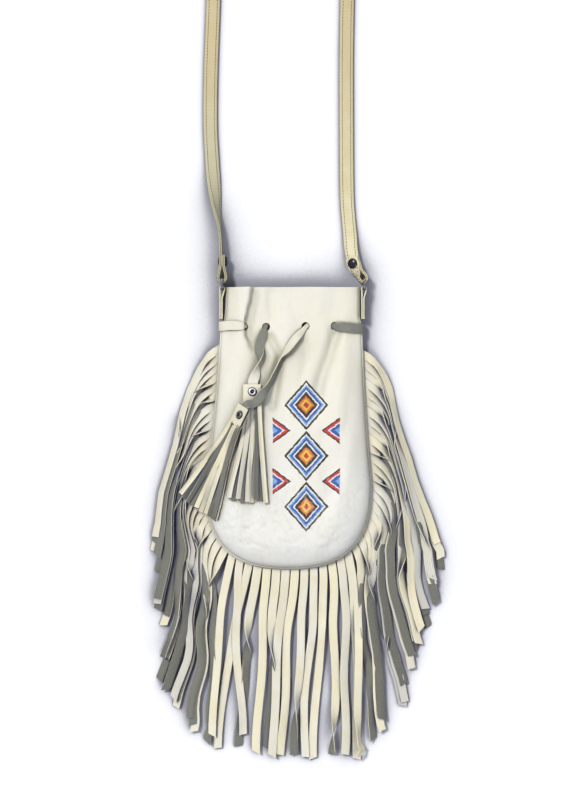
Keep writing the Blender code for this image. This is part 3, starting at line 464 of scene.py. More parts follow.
DRAPE_SAMPLES, DRAPE_ROUNDS = 50, 12     # where a strand is tried, and how often it is lifted
TASSEL_STATIONS = tuple(round(0.04 * k, 2) for k in range(1, 26))   # shares of a strand's length
CAP_LONG, CAP_HALF = 19.5, 8.0
F1 = cap_frame(smooth_support, (-38.5, -97.0), (0.0, -1.0), CAP_LONG, CAP_HALF)
F2 = cap_frame(over, (-44.0, -119.5), (-0.465, -0.885), CAP_LONG, CAP_HALF)
T1_TIPS = [(-26, -213, 2.4), (-35, -210, 2.6), (-44, -212, 2.5), (-53, -209, 2.5), (-62, -208, 2.3),
           (-58, -211, 2.3), (-49, -213, 2.5), (-40, -213, 2.5), (-31, -211, 2.4), (-27, -206, 2.2)]
T2_TIPS = [(-78, -230, 2.4), (-86, -225, 2.6), (-95, -219, 2.7), (-104, -214, 2.5), (-111, -205, 2.3),
           (-108, -210, 2.3), (-100, -217, 2.5), (-91, -223, 2.5), (-82, -227, 2.4), (-75, -230, 2.2)]
CAP_TURN, CAP_RISE = math.radians(30), 3.2   # the right tassel lies turned on its side a little
CAP_ACROSS, CAP_UP = rolled(F2[1], F2[3], CAP_TURN)
F2 = (F2[0] + UP * CAP_RISE, CAP_ACROSS, F2[2], CAP_UP)

cap_low = GAP + EYELET_FLANGE + GAP
cap_high = cap_low + 2 * FRINGE_THICK + LACE_THICK + 2 * GAP


# Drawstring: tassel, hole, round the left side, the back, round the right side, hole, tassel
mid = cap_low + FRINGE_THICK + GAP + LACE_THICK / 2
lace = []
d1 = Vector((0.1, 1, 0)).normalized()
for l in (7.5, -CAP_LONG / 2 - 0.8):
    lace.append((F1[0] + F1[2] * l + F1[3] * mid, F1[3], 5.0))


def clear(turn, hw):
    a = math.radians(turn)
    return 0.35 + GAP + abs(math.sin(a)) * hw + abs(math.cos(a)) * LACE_THICK / 2


for x, y, h, turn, hw in ((-37.6, -91.5, 1.2, 5, 5.0), (-36.0, -86.5, 0.3, 20, 4.8),
                          (-34.8, -81.5, 0.2, 50, 4.0), (-33.9, -77.2, 0.2, 80, 3.2),
                          (-33.3, -73.0, 0.2, 105, 3.2), (-32.7, -68.5, 0.2, 135, 4.0),
                          (-32.2, -63.0, 0.1, 165, 4.7), (-31.4, -56.5, 0.1, 180, 4.9),
                          (-30.0, -50.5, 0.2, 180, 4.6)):
    lace.append(on(smooth_support, x, y, h + clear(turn, hw), math.radians(turn), d1, hw))
FACE_DOWN = -1.0             # from hole to hole the lace's first side lies on the leather


def by_front(x, y, h, hw):
    c, n = front_point(x, y, h)
    return (c, n * FACE_DOWN, hw)


for x, y, h, hw in ((-28.3, -45.6, 2.0, 3.6), (-27.4, -43.0, 1.6, 2.9), (-26.6, -41.0, 0.1, 2.2),
                    (-26.2, -38.6, -1.3, 2.4), (-27.0, -33.4, -1.7, 3.0), (-30.4, -30.2, -1.7, 3.2),
                    (-35.2, -30.0, -1.7, 3.2), (-39.6, -33.0, -1.7, 3.0), (-43.6, -36.6, -1.35, 2.7),
                    (-47.0, -39.2, 0.0, 2.2), (-49.0, -39.0, 1.5, 3.6), (-52.6, -38.9, 1.7, 4.5)):
    lace.append(by_front(x, y, h, hw))
for x in (-57.5, -61.5):
    lace.append(by_front(x, -38.6, 1.9, 4.7))


def ring_round(side, y):
    s = arc_at(y, side)
    p = outline(s)
    zs = seam_z(y)
    out = []
    for inset, dz, ang in ((2.4, 6.3, 58), (0.4, 4.4, 32), (-0.8, 1.9, 8), (-0.8, -1.9, -8),
                           (0.3, -4.1, -35), (2.8, -5.6, -70)):
        a = math.radians(ang)
        c = Vector((p.x - side * inset + side * 0.9, y, zs + dz + 0.35 * math.sin(a)))
        n = Vector((side * math.cos(a), 0, math.sin(a)))
        out.append((c, n))
    return out


for c, n in ring_round(-1, -38.8):
    lace.append((c, n * FACE_DOWN, 4.7))
under = BACK_RAISED - LEATHER / 2 - GAP - LACE_THICK / 2 - 0.3
above = BACK_RAISED + LEATHER / 2 + GAP + LACE_THICK / 2 + 0.3
for x, z, hw in ((-63.0, under, 4.7), (-55.0, under, 4.2), (-51.0, under, 3.0), (-47.0, BACK_RAISED, 2.6),
                 (-43.0, above, 3.0), (-36.0, above, 4.0), (-28.0, above, 3.0), (-24.0, BACK_RAISED, 2.6),
                 (-20.0, under, 3.0), (-13.0, under, 4.5), (8.0, under, 4.5), (16.0, under, 3.0),
                 (20.0, BACK_RAISED, 2.6), (24.0, above, 3.0), (32.0, above, 4.0), (40.0, above, 3.0),
                 (44.0, BACK_RAISED, 2.6), (48.0, under, 3.0), (55.0, under, 4.4), (62.0, under, 4.7)):
    yy = lerp(-38.8, -40.6, step((x - 44) / 20))
    if abs(x - 44) < 5 or x < 44:
        yy = lerp(-38.8, HOLES_Y, step((x + 60) / 12))
    lace.append((Vector((x, yy, z)), Vector((0, 0, -1)) * FACE_DOWN, hw))
for c, n in reversed(ring_round(1, -41.2)):
    lace.append((c, n * FACE_DOWN, 4.7))
for x, y, h, hw in ((61.5, -41.0, 2.0, 4.7), (56.0, -40.4, 1.9, 4.8), (51.0, -39.8, 1.9, 4.7),
                    (46.4, -39.2, 1.7, 4.4), (43.0, -38.7, 1.2, 3.7), (41.4, -38.5, 0.0, 2.9),
                    (39.0, -37.8, -1.6, 2.6),
                    (33.0, -36.2, -1.7, 3.4), (26.0, -34.4, -1.7, 3.4), (20.4, -34.6, -1.7, 3.0),
                    (16.2, -37.4, -1.5, 2.3), (13.4, -39.9, 0.0, 2.1), (11.4, -42.0, 1.5, 2.4),
                    (9.0, -44.8, 2.0, 3.0)):
    lace.append(by_front(x, y, h, hw))
d2 = Vector((-0.62, -0.78, 0))
for x, y, h, turn, hw in ((4.4, -50.0, 0.3, 205, 4.0), (-0.2, -56.0, 0.2, 213, 4.2),
                          (-4.4, -62.4, 0.2, 222, 4.2), (-8.2, -69.0, 0.2, 238, 3.8),
                          (-11.8, -75.6, 0.2, 262, 3.4), (-15.2, -81.6, 0.2, 296, 3.6),
                          (-18.8, -87.8, 0.4, 322, 4.0), (-22.4, -94.0, 0.6, 338, 4.2),
                          (-26.0, -100.4, 0.2, 348, 4.2), (-29.4, -106.2, 0.2, 352, 4.2),
                          (-33.2, -111.6, 0.4, 356, 4.2), (-37.8, -115.6, 1.2, 360, 4.2)):
    lace.append(on(over, x, y, h + clear(turn, hw), math.radians(turn), d2, hw))
for l in (-CAP_LONG / 2 - 0.8, 7.5):
    lace.append((F2[0] + F2[2] * l + F2[3] * mid, F2[3], 4.6))


# Strap: up from the loop on the right ring, round the top and down to the loop on the left one
def loop(frame, tail_to, run_to):
    """A strap end folded round a ring's upper bar: (place, width direction) from tail to run."""
    u0 = 1.2
    r = 3.85
    pts = [(tail_to, 1.4), (tail_to - 5.0, 1.4), (tail_to - 9.5, 1.45), (10.8, 1.85), (7.8, 2.6), (4.6, 3.4)]
    for a in (90, 125, 155, 180, 205, 235, 270):
        k = math.radians(a)
        pts.append((u0 + r * math.cos(k), r * math.sin(k)))
    pts += [(4.6, -3.4), (7.8, -2.6), (10.8, -1.85),
            (run_to - 9.5, -1.45), (run_to - 5.0, -1.4), (run_to, -1.4)]
    out = []
    for u, h in pts:
        c, w, n = frame(u)
        out.append((c + n * h, w))
    return out


RING_HIGH_Y = RING_LOW_Y + RING_LONG


def left_frame(u):
    return Vector((RING_X[0], RING_HIGH_Y + u, RING_Z - 0.02 * u)), Vector((0, 0, -1)), Vector((1, 0, 0))


def right_frame(u):
    q = (Vector((RING_X[1], RING_HIGH_Y, RING_Z)), Vector((RING_X[1] - 6.4, 16.0, 9.9)),
         Vector((RING_X[1] - 11.4, 22.0, 8.2)), Vector((RING_X[1] - 12.2, 36.0, 6.2)))
    long = 0.0
    k = 0.0
    while k < 0.999 and long < u:
        long += (bezier(q, k + 0.01) - bezier(q, k)).length
        k += 0.01
    c = bezier(q, k)
    if u <= 0:
        c = q[0] + (q[1] - q[0]).normalized() * u
    t = (bezier(q, min(1, k + .02)) - bezier(q, max(0, k - .02))).normalized()
    turn = math.radians(lerp(90, 24, step((u - 2.5) / 14)))
    flat = t.cross(UP).normalized()
    up = flat.cross(t).normalized()
    w = flat * math.cos(turn) + up * math.sin(turn)
    return c, w, w.cross(t).normalized()


R_RIVET_U, L_RIVET_U = 18.5, 17.6
right_loop = loop(right_frame, 24.5, 24.5)
left_loop = loop(left_frame, 23.5, 23.5)
stations = [(c, w) for c, w in right_loop]
# the run on the right: how far inside its ring, distance up, height and twist (0 flat, 90 on edge)
for dx, y, z, turn in ((12.7, 41.0, 3.9, -12), (13.4, 53.0, 2.4, -4), (14.8, 68.0, 1.6, 0),
                       (16.5, 95.0, 1.55, 0), (17.0, 150.0, 1.55, 0), (17.1, 230.0, 1.55, 0),
                       (16.2, 290.0, 1.55, 0), (15.8, 330.0, 1.8, 8), (15.8, 365.0, 3.6, 30),
                       (16.0, 400.0, 6.3, 58), (16.2, 430.0, 7.1, 82), (16.4, STRAP_TOP_Y, 7.2, 90)):
    stations.append(((RING_X[1] - dx, y, z), turn))
left_in = -10.6
cx = (RING_X[0] + left_in + RING_X[1] - 16.4) / 2
rad = RING_X[1] - 16.4 - cx
for k in range(1, 10):
    a = math.pi * k / 10
    stations.append(((cx + rad * math.cos(a), STRAP_TOP_Y + rad * math.sin(a), 7.1), 90))
for dx, y, z, turn in ((left_in, STRAP_TOP_Y, 7.1, 90), (-10.2, 430.0, 7.0, 82), (-9.8, 400.0, 5.9, 58),
                       (-9.4, 365.0, 3.6, 30), (-9.2, 330.0, 1.8, 8), (-9.2, 288.0, 1.55, 0),
                       (-11.6, 218.0, 1.55, 0), (-12.2, 165.0, 1.55, 0), (-10.4, 126.0, 1.6, -3),
                       (-9.0, 107.0, 2.6, -18), (-7.4, 91.0, 4.6, -42), (-5.4, 76.0, 6.4, -66),
                       (-3.2, 62.0, 7.6, -84), (-1.9, 48.0, 8.6, -90), (-1.5, 38.0, 9.3, -90)):
    stations.append(((RING_X[0] + dx, y, z), turn))
mids = [s[0] if isinstance(s[0], Vector) else Vector(s[0]) for s in stations]
left_part = [(c, -w) for c, w in reversed(left_loop)]
mids += [c for c, _ in left_part]
ways = [s[1] for s in stations] + [w for _, w in left_part]
strap = []
for i, c in enumerate(mids):
    t = heading(mids, i)
    w = ways[i]
    if not isinstance(w, Vector):
        a = math.radians(abs(w))
        c.z = max(c.z, GAP + STRAP_WIDE / 2 * math.sin(a) + (STRAP_LAYER + GAP / 2) * math.cos(a))
        flat = t.cross(UP).normalized()
        up = flat.cross(t).normalized()
        a = math.radians(w)
        w = flat * math.cos(a) - up * math.sin(a)
    w = (w - t * w.dot(t)).normalized()
    strap.append((c, w, w.cross(t).normalized(), STRAP_WIDE / 2))


# Mesh helpers: every piece is built in millimetres and scaled to metres
def finish_mesh(name, verts, faces, mats, index=None, tone=None):
    me = bpy.data.meshes.new(name)
    me.from_pydata([tuple(v * MM) for v in verts], [], faces)
    if tone is not None:
        col = me.attributes.new("tone", "FLOAT_COLOR", "POINT")
        col.data.foreach_set("color", [c for t in tone for c in (*t, 1.0)])
    me.validate()
    obj = bpy.data.objects.new(name, me)
    bpy.context.scene.collection.objects.link(obj)
    for m in mats:
        me.materials.append(m)
    if index is not None:
        me.polygons.foreach_set("material_index", index)
    bm = bmesh.new()
    bm.from_mesh(me)
    bmesh.ops.recalc_face_normals(bm, faces=bm.faces)
    bm.to_mesh(me)
    bm.free()
    me.polygons.foreach_set("use_smooth", [True] * len(me.polygons))
    return obj


def sharpen(obj, degrees):
    me = obj.data
    bm = bmesh.new()
    bm.from_mesh(me)
    limit = math.radians(degrees)
    for e in bm.edges:
        e.smooth = len(e.link_faces) != 2 or e.calc_face_angle(0.0) < limit
    bm.to_mesh(me)
    bm.free()
    return obj


def apply_modifiers(obj):
    dg = bpy.context.evaluated_depsgraph_get()
    dg.update()
    me = bpy.data.meshes.new_from_object(obj.evaluated_get(dg))
    obj.modifiers.clear()
    obj.data = me
    return obj


def dress(obj, body, node, slot):
    """The piece rides on a body and replaces a node's solid; the slot is not used."""
    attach(obj, body)
    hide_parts(node)
    return obj


class Build:
    """Collects closed bodies, each swept through rings of points, into one mesh."""

    def __init__(self):
        self.v, self.f, self.t = [], [], []

    def sweep(self, rings, tones=None, closed=False):
        n = len(rings[0])
        base = len(self.v)
        for k, r in enumerate(rings):
            self.v += r
            self.t += tones[k] if tones else [(0.0, 0.5, 0.0)] * n
        count = len(rings)
        for k in range(count if closed else count - 1):
            a = base + k * n
            b = base + (k + 1) % count * n
            for j in range(n):
                q = (j + 1) % n
                self.f.append((a + j, a + q, b + q, b + j))
        if not closed:
            self.f.append(tuple(base + j for j in reversed(range(n))))
            self.f.append(tuple(base + (count - 1) * n + j for j in range(n)))

    def make(self, name, mats, degrees=50):
        return sharpen(finish_mesh(name, self.v, self.f, mats, tone=self.t), degrees)


# cross-section of a flat strip, over (width, height): five points on top, two at each edge
TOPS = (-0.94, -0.5, 0.0, 0.5, 0.94)


def strip_ring(c, w, n, hw, thick, curl=0.0, shift=0.0, bev=0.16):
    h = thick / 2
    ring = []
    for u in TOPS:
        ring.append(c + w * (u * hw) + n * (shift + h + curl * u * u))
    ring.append(c + w * hw + n * (shift + h - bev + curl))
    ring.append(c + w * hw + n * (shift - h + bev + curl))
    for u in reversed(TOPS):
        ring.append(c + w * (u * hw) + n * (shift - h + curl * u * u))
    ring.append(c - w * hw + n * (shift - h + bev + curl))
    ring.append(c - w * hw + n * (shift + h - bev + curl))
    return ring


def strip_tone(flesh_top, bright, along):
    top = (flesh_top, bright, along)
    low = (1.0 - flesh_top, bright, along)
    edge = (0.35, min(1.0, bright + 0.15), along)
    return [top] * 5 + [edge] * 2 + [low] * 5 + [edge] * 2


def smooth_line(pts, step_mm):
    """Catmull-Rom through tuples that begin with a place, in steps of about one length."""
    out = []
    n = len(pts)
    for i in range(n - 1):
        p0, p1, p2, p3 = pts[max(0, i - 1)], pts[i], pts[i + 1], pts[min(n - 1, i + 2)]
        seg = (p2[0] - p1[0]).length
        k = max(1, int(round(seg / step_mm)))
        for j in range(k):
            t = j / k
            row = []
            for a, b, c, d in zip(p0, p1, p2, p3):
                row.append(0.5 * ((2 * b) + (c - a) * t + (2 * a - 5 * b + 4 * c - d) * t * t
                                  + (3 * b - a - 3 * c + d) * t ** 3))
            out.append(tuple(row))
    out.append(tuple(pts[-1]))
    return out


# Materials: node graphs in object space, in millimetres
class Nodes:
    def __init__(self, name):
        self.mat = bpy.data.materials.new(name)
        self.mat.use_nodes = True
        self.nt = self.mat.node_tree
        self.bsdf = self.nt.nodes["Principled BSDF"]
        tc = self.nt.nodes.new("ShaderNodeTexCoord")
        self.mm = self.vec("SCALE", tc.outputs["Object"], scale=1000.0)
        sep = self.nt.nodes.new("ShaderNodeSeparateXYZ")
        self.nt.links.new(self.mm, sep.inputs[0])
        self.x, self.y, self.z = sep.outputs

    def put(self, socket, value):
        if hasattr(value, "is_output"):
            self.nt.links.new(value, socket)
        else:
            socket.default_value = value

    def vec(self, op, a, b=None, scale=None):
        n = self.nt.nodes.new("ShaderNodeVectorMath")
        n.operation = op
        self.put(n.inputs[0], a)
        if b is not None:
            self.put(n.inputs[1], b)
        if scale is not None:
            n.inputs["Scale"].default_value = scale
        return n.outputs[0]

    def math(self, op, a, b=0.0):
        n = self.nt.nodes.new("ShaderNodeMath")
        n.operation = op
        self.put(n.inputs[0], a)
        self.put(n.inputs[1], b)
        return n.outputs[0]

    def add(self, a, b):
        return self.math("ADD", a, b)

    def sub(self, a, b):
        return self.math("SUBTRACT", a, b)

    def mul(self, a, b):
        return self.math("MULTIPLY", a, b)

    def remap(self, v, lo, hi, out_lo=0.0, out_hi=1.0):
        n = self.nt.nodes.new("ShaderNodeMapRange")
        n.interpolation_type = "SMOOTHSTEP"
        for s, q in zip(n.inputs[:5], (v, lo, hi, out_lo, out_hi)):
            self.put(s, q)
        return n.outputs[0]

    def noise(self, scale, detail=3.0, rough=0.5, distort=0.0, stretch=None, offset=None):
        n = self.nt.nodes.new("ShaderNodeTexNoise")
        v = self.mm
        if stretch:
            v = self.vec("MULTIPLY", v, stretch)
        if offset is not None:
            v = self.vec("ADD", v, offset)
        self.nt.links.new(v, n.inputs["Vector"])
        n.inputs["Scale"].default_value = scale
        n.inputs["Detail"].default_value = detail
        n.inputs["Roughness"].default_value = rough
        n.inputs["Distortion"].default_value = distort
        return n.outputs[0]

    def cells(self, scale):
        n = self.nt.nodes.new("ShaderNodeTexVoronoi")
        n.feature = "DISTANCE_TO_EDGE"
        self.nt.links.new(self.mm, n.inputs["Vector"])
        n.inputs["Scale"].default_value = scale
        return n.outputs["Distance"]

    def mix(self, f, a, b, blend="MIX"):
        n = self.nt.nodes.new("ShaderNodeMix")
        n.data_type = "RGBA"
        n.blend_type = blend
        self.put(n.inputs[0], f)
        self.put(n.inputs[6], a if hasattr(a, "is_output") else (*a, 1.0))
        self.put(n.inputs[7], b if hasattr(b, "is_output") else (*b, 1.0))
        return n.outputs[2]

    def tint(self, colour, where, share, other):
        """Another colour over this one, at most by the given share."""
        return self.mix(self.mul(where, share), colour, other)

    def cloud(self, *settings):
        """Soft patches from 0 to 1."""
        return self.remap(self.noise(*settings), 0.3, 0.7)

    def ramp(self, v, stops):
        n = self.nt.nodes.new("ShaderNodeValToRGB")
        n.color_ramp.interpolation = "CONSTANT"
        el = n.color_ramp.elements
        el[0].position, el[0].color = stops[0][0], (*stops[0][1], 1.0)
        el[1].position, el[1].color = stops[1][0], (*stops[1][1], 1.0)
        for p, c in stops[2:]:
            e = el.new(p)
            e.color = (*c, 1.0)
        self.nt.links.new(v, n.inputs[0])
        return n.outputs[0]

    def tone(self):
        n = self.nt.nodes.new("ShaderNodeAttribute")
        n.attribute_name = "tone"
        sep = self.nt.nodes.new("ShaderNodeSeparateColor")
        self.nt.links.new(n.outputs["Color"], sep.inputs[0])
        return sep.outputs

    def shade_in_hollows(self, reach, lo, hi):
        """How deep a point lies between its neighbours, from 0 to 1: the mask for painted shade in folds and
        gaps.
        """
        n = self.nt.nodes.new("ShaderNodeAmbientOcclusion")
        n.samples = 6
        n.inputs["Distance"].default_value = reach
        return self.remap(n.outputs["AO"], lo, hi)

    def bump(self, height, distance, strength):
        n = self.nt.nodes.new("ShaderNodeBump")
        n.inputs["Strength"].default_value = strength
        n.inputs["Distance"].default_value = distance
        self.nt.links.new(height, n.inputs["Height"])
        return n.outputs[0]

    def done(self, colour, rough, normal=None, **values):
        """Fill the shader: the named values set its own sockets."""
        self.put(self.bsdf.inputs["Base Color"], colour)
        self.put(self.bsdf.inputs["Roughness"], rough)
        if normal is not None:
            self.put(self.bsdf.inputs["Normal"], normal)
        for k, v in values.items():
            self.bsdf.inputs[k.replace("_", " ")].default_value = v
        return self.mat


def grain(n, strength=1.0):
    """Height of fine leather grain, pores and soft creases, from 0 to about 1."""
    edge = n.remap(n.cells(0.85), 0.0, 0.22)
    fine = n.noise(1.9, 3.0, 0.6)
    crease = n.noise(0.11, 3.0, 0.55, 0.4, stretch=(1.0, 0.35, 1.0))
    crease = n.math("ABSOLUTE", n.sub(crease, 0.5))
    line = n.remap(crease, 0.0, 0.05)
    low = n.remap(n.y, -150.0, -215.0, 0.25, 1.0)
    line = n.sub(1.0, n.mul(n.sub(1.0, line), low))
    h = n.mul(edge, 0.24)
    h = n.add(h, n.mul(fine, 0.36))
    return n.add(h, n.mul(line, 0.40 * strength)), line, edge


def ornament(n):
    """A painted column of lozenges with triangles beside it: its colour, and where the paint is."""
    wob = n.mul(n.sub(n.noise(0.35, 2.0), 0.5), 2.2)
    x = n.add(n.math("ABSOLUTE", n.sub(n.x, ORN_X)), wob)
    wob2 = n.mul(n.sub(n.noise(0.3, 2.0, offset=(71.0, 13.0, 5.0)), 0.5), 2.2)
    y = n.add(n.sub(ORN_TOP, n.y), wob2)
    rows = n.math("FLOOR", n.math("DIVIDE", y, ORN_STEP))
    yy = n.math("ABSOLUTE", n.sub(n.math("MODULO", n.add(y, ORN_STEP * 4), ORN_STEP),
                                   ORN_STEP / 2))
    d = n.add(n.math("DIVIDE", x, ORN_HALF), n.math("DIVIDE", yy, ORN_STEP / 2))
    inside = n.mul(n.math("GREATER_THAN", y, 0.0), n.math("LESS_THAN", y, ORN_STEP * ORN_ROWS))
    centre = n.mul(n.math("LESS_THAN", d, 0.99), inside)
    loz = n.ramp(d, ((0.0, RED), (0.13, YELLOW), (0.25, ORANGE), (0.36, BROWN), (0.52, WHITE), (0.60, BLUE),
                     (0.72, SKY), (0.80, WHITE), (0.87, BROWN)))
    # triangles that point at the notches between the lozenges
    tri_y = n.sub(ORN_STEP / 2, yy)
    e = n.add(n.math("DIVIDE", tri_y, TRI_HALF), n.math("DIVIDE", n.sub(TRI_OUT, x), TRI_WIDE))
    edge = n.mul(n.math("LESS_THAN", x, TRI_OUT), n.math("LESS_THAN", e, 1.0))
    middle = n.mul(n.math("GREATER_THAN", y, ORN_STEP * 0.5),
                    n.math("LESS_THAN", y, ORN_STEP * (ORN_ROWS - 0.5)))
    side = n.mul(edge, middle)
    tri = n.ramp(e, ((0.0, SKY), (0.28, BLUE), (0.55, WHITE), (0.66, RED), (0.86, BROWN)))
    mask = n.math("MAXIMUM", centre, side)
    colour = n.mix(centre, tri, loz)
    # the paint is a little uneven, and its fields fade into one another by hand
    worn = n.remap(n.noise(0.6, 4.0, 0.7), 0.30, 0.72, 0.80, 1.0)
    shade = n.mix(worn, (0.55, 0.52, 0.5), (1.0, 1.0, 1.0))
    return n.mix(1.0, colour, shade, "MULTIPLY"), mask


RED, ORANGE, YELLOW = (0.60, 0.035, 0.03), (0.78, 0.20, 0.03), (0.85, 0.60, 0.08)
BROWN, WHITE = (0.018, 0.012, 0.012), (0.86, 0.86, 0.84)
BLUE, SKY = (0.025, 0.09, 0.38), (0.20, 0.42, 0.78)
ORN_X, ORN_TOP = 14.0, -92.0         # middle and upper tip of the column
ORN_STEP, ORN_ROWS, ORN_HALF = 50.0, 3, 22.0
TRI_OUT, TRI_WIDE, TRI_HALF = 33.0, 18.0, 13.0


def panel_leather(name, painted=False):
    n = Nodes(name)
    big = n.remap(n.noise(0.016, 3.0, 0.55, 0.4), 0.32, 0.68)
    high = n.remap(n.y, -230.0, -60.0)
    warm = n.add(n.mul(big, 0.35), n.mul(high, 0.65))
    colour = n.mix(warm, (0.90, 0.90, 0.88), (0.87, 0.83, 0.69))
    h, line, edge = grain(n)
    colour = n.tint(colour, n.cloud(0.22, 4.0, 0.65), 0.22, (0.80, 0.77, 0.66))
    # painted shade: the colour darkens along the fine crease lines
    colour = n.tint(colour, n.sub(1.0, line), 0.16, (0.66, 0.64, 0.56))
    rough = n.remap(edge, 0.0, 1.0, 0.66, 0.50)
    # painted shade: grey-olive darkening in the pleats, folds and hollows, found by ambient occlusion
    colour = n.tint(colour, n.shade_in_hollows(0.024, 0.98, 0.66), 0.88, (0.34, 0.32, 0.23))
    if painted:
        paint, mask = ornament(n)
        thin = n.mul(mask, n.remap(line, 0.0, 1.0, 0.82, 0.98))
        colour = n.mix(thin, colour, paint)
    normal = n.bump(h, 0.00035, 0.55)
    return n.done(colour, rough, normal, Specular_IOR_Level=0.38)


def suede(name, base=(0.26, 0.26, 0.21), dark=(0.17, 0.17, 0.14)):
    n = Nodes(name)
    nap = n.noise(2.6, 4.0, 0.7)
    f = n.mul(n.add(nap, n.cloud(0.10, 3.0, 0.6)), 0.5)
    return n.done(n.mix(f, base, dark), 0.95, n.bump(nap, 0.0003, 0.6), Sheen_Weight=0.25,
                  Sheen_Roughness=0.5, Specular_IOR_Level=0.2)


def split_leather(name, face=(0.84, 0.81, 0.69), warm=(0.80, 0.74, 0.55), flesh=(0.185, 0.185, 0.155)):
    """Cut strips: cream grain on one side, grey-olive flesh on the other, told apart by the tone."""
    n = Nodes(name)
    r, g, b = n.tone()[:3]
    back = n.remap(r, 0.46, 0.60)
    top = n.mix(n.cloud(0.035, 3.0, 0.6), face, warm)
    # no two strips are alike: some greyer, some yellower; the grey is partly each strip's own tone and partly
    # painted shade for strips lying in shadow, and it stays off where they leave the seam, so the roots are
    # brighter
    grey = n.mul(n.remap(g, 0.62, 0.18), n.remap(b, 0.05, 0.30))
    top = n.tint(top, grey, 0.75, (0.50, 0.50, 0.50))
    top = n.tint(top, n.remap(g, 0.75, 0.95), 0.6, (0.90, 0.82, 0.56))
    nap = n.noise(2.2, 4.0, 0.7)
    low = n.mix(n.cloud(0.8, 4.0, 0.65, 0.3), flesh, tuple(c * 0.66 for c in flesh))
    low = n.tint(low, g, 0.35, (0.36, 0.36, 0.31))
    edge = n.remap(n.cells(0.9), 0.0, 0.22)
    height = n.add(n.mul(edge, 0.5), n.mul(nap, 0.5))
    # painted shade: dark blue in the gaps between strips and wherever pieces lie close, found by ambient
    # occlusion
    colour = n.tint(n.mix(back, top, low), n.shade_in_hollows(0.009, 0.92, 0.30), 0.85, (0.05, 0.06, 0.15))
    return n.done(colour, n.remap(back, 0.0, 1.0, 0.58, 0.92),
                  n.bump(height, 0.0003, 0.45), Specular_IOR_Level=0.35)


def cut_edge(name):
    n = Nodes(name)
    layer = n.noise(1.4, 3.0, 0.6)
    return n.done(n.mix(layer, (0.84, 0.81, 0.68), (0.66, 0.62, 0.48)), 0.85,
                  n.bump(layer, 0.0002, 0.5))


def strap_leather(name, base=(0.80, 0.75, 0.53), worn=(0.72, 0.64, 0.38)):
    n = Nodes(name)
    cloud = n.cloud(0.03, 3.0, 0.6)
    g = n.tone()[1]
    # tanned by handling towards the shoulder and paler near the bag; the grey-olive on the left run near the
    # bag is painted shade
    high = n.remap(n.y, 60.0, 260.0)
    left = n.mul(n.remap(n.x, -40.0, -60.0), n.sub(1.0, high))
    colour = n.tint(n.mix(cloud, base, worn), high, 0.85, (0.60, 0.49, 0.27))
    colour = n.tint(colour, left, 0.55, (0.36, 0.355, 0.25))
    # painted shade: darker from the stitch lines out to both edges, where the thread pulls the leather in
    colour = n.tint(colour, n.remap(g, 0.62, 0.95), 0.35, (0.56, 0.50, 0.30))
    h = n.add(n.mul(n.remap(n.cells(1.1), 0.0, 0.2), 0.5),
               n.mul(n.noise(1.7, 3.0), 0.5))
    return n.done(colour, n.remap(cloud, 0.0, 1.0, 0.48, 0.60), n.bump(h, 0.00025, 0.4),
                  Specular_IOR_Level=0.42)


def thread(name):
    n = Nodes(name)
    ply = n.noise(3.0, 2.0)
    return n.done(n.mix(ply, (0.05, 0.035, 0.02), (0.20, 0.15, 0.08)), 0.7, n.bump(ply, 0.0001, 0.5))


def metal(name, base, rough, dark=None):
    n = Nodes(name)
    smear = n.cloud(0.7, 4.0, 0.6)
    colour = n.mix(smear, base, dark or tuple(c * 0.7 for c in base))
    fine = n.noise(4.0, 2.0)
    return n.done(colour, n.remap(smear, 0.0, 1.0, rough, rough + 0.12),
                  n.bump(fine, 0.00005, 0.15), Metallic=1.0)


# Materials in use
LEATHER_FRONT = panel_leather("front_leather", painted=True)
LEATHER_BACK = panel_leather("back_leather")
FLESH = suede("flesh_side")
EDGE = cut_edge("cut_edge")
SPLIT = split_leather("strand_leather")
LACE_MAT = split_leather("lace_leather", (0.83, 0.81, 0.70), (0.80, 0.76, 0.60), (0.24, 0.245, 0.21))
STRAP_MAT = strap_leather("strap_leather")
STRAP_LOW = strap_leather("strap_lining_leather", (0.78, 0.74, 0.57), (0.70, 0.65, 0.46))
TAB_MAT = split_leather("tab_leather", (0.83, 0.79, 0.62), (0.78, 0.72, 0.48), (0.5, 0.47, 0.36))
THREAD = thread("strap_thread")
BLACK = metal("black_metal", (0.035, 0.035, 0.04), 0.16)
SILVER = metal("ring_silver", (0.62, 0.62, 0.64), 0.22)
GUNMETAL = metal("gunmetal", (0.20, 0.20, 0.21), 0.2, (0.10, 0.10, 0.11))


# Front and back: a four-sided patch with a turned edge and an inner seam allowance
CORNER_Y = -247.0            # where the patch has its two lower corners
EDGE_CROWD = 0.55            # how much closer its columns are towards the sides
ROLL_ANGLES = (68, 45, 22, 0, -22, -45, -68, -90, None)    # round the edge, then the allowance


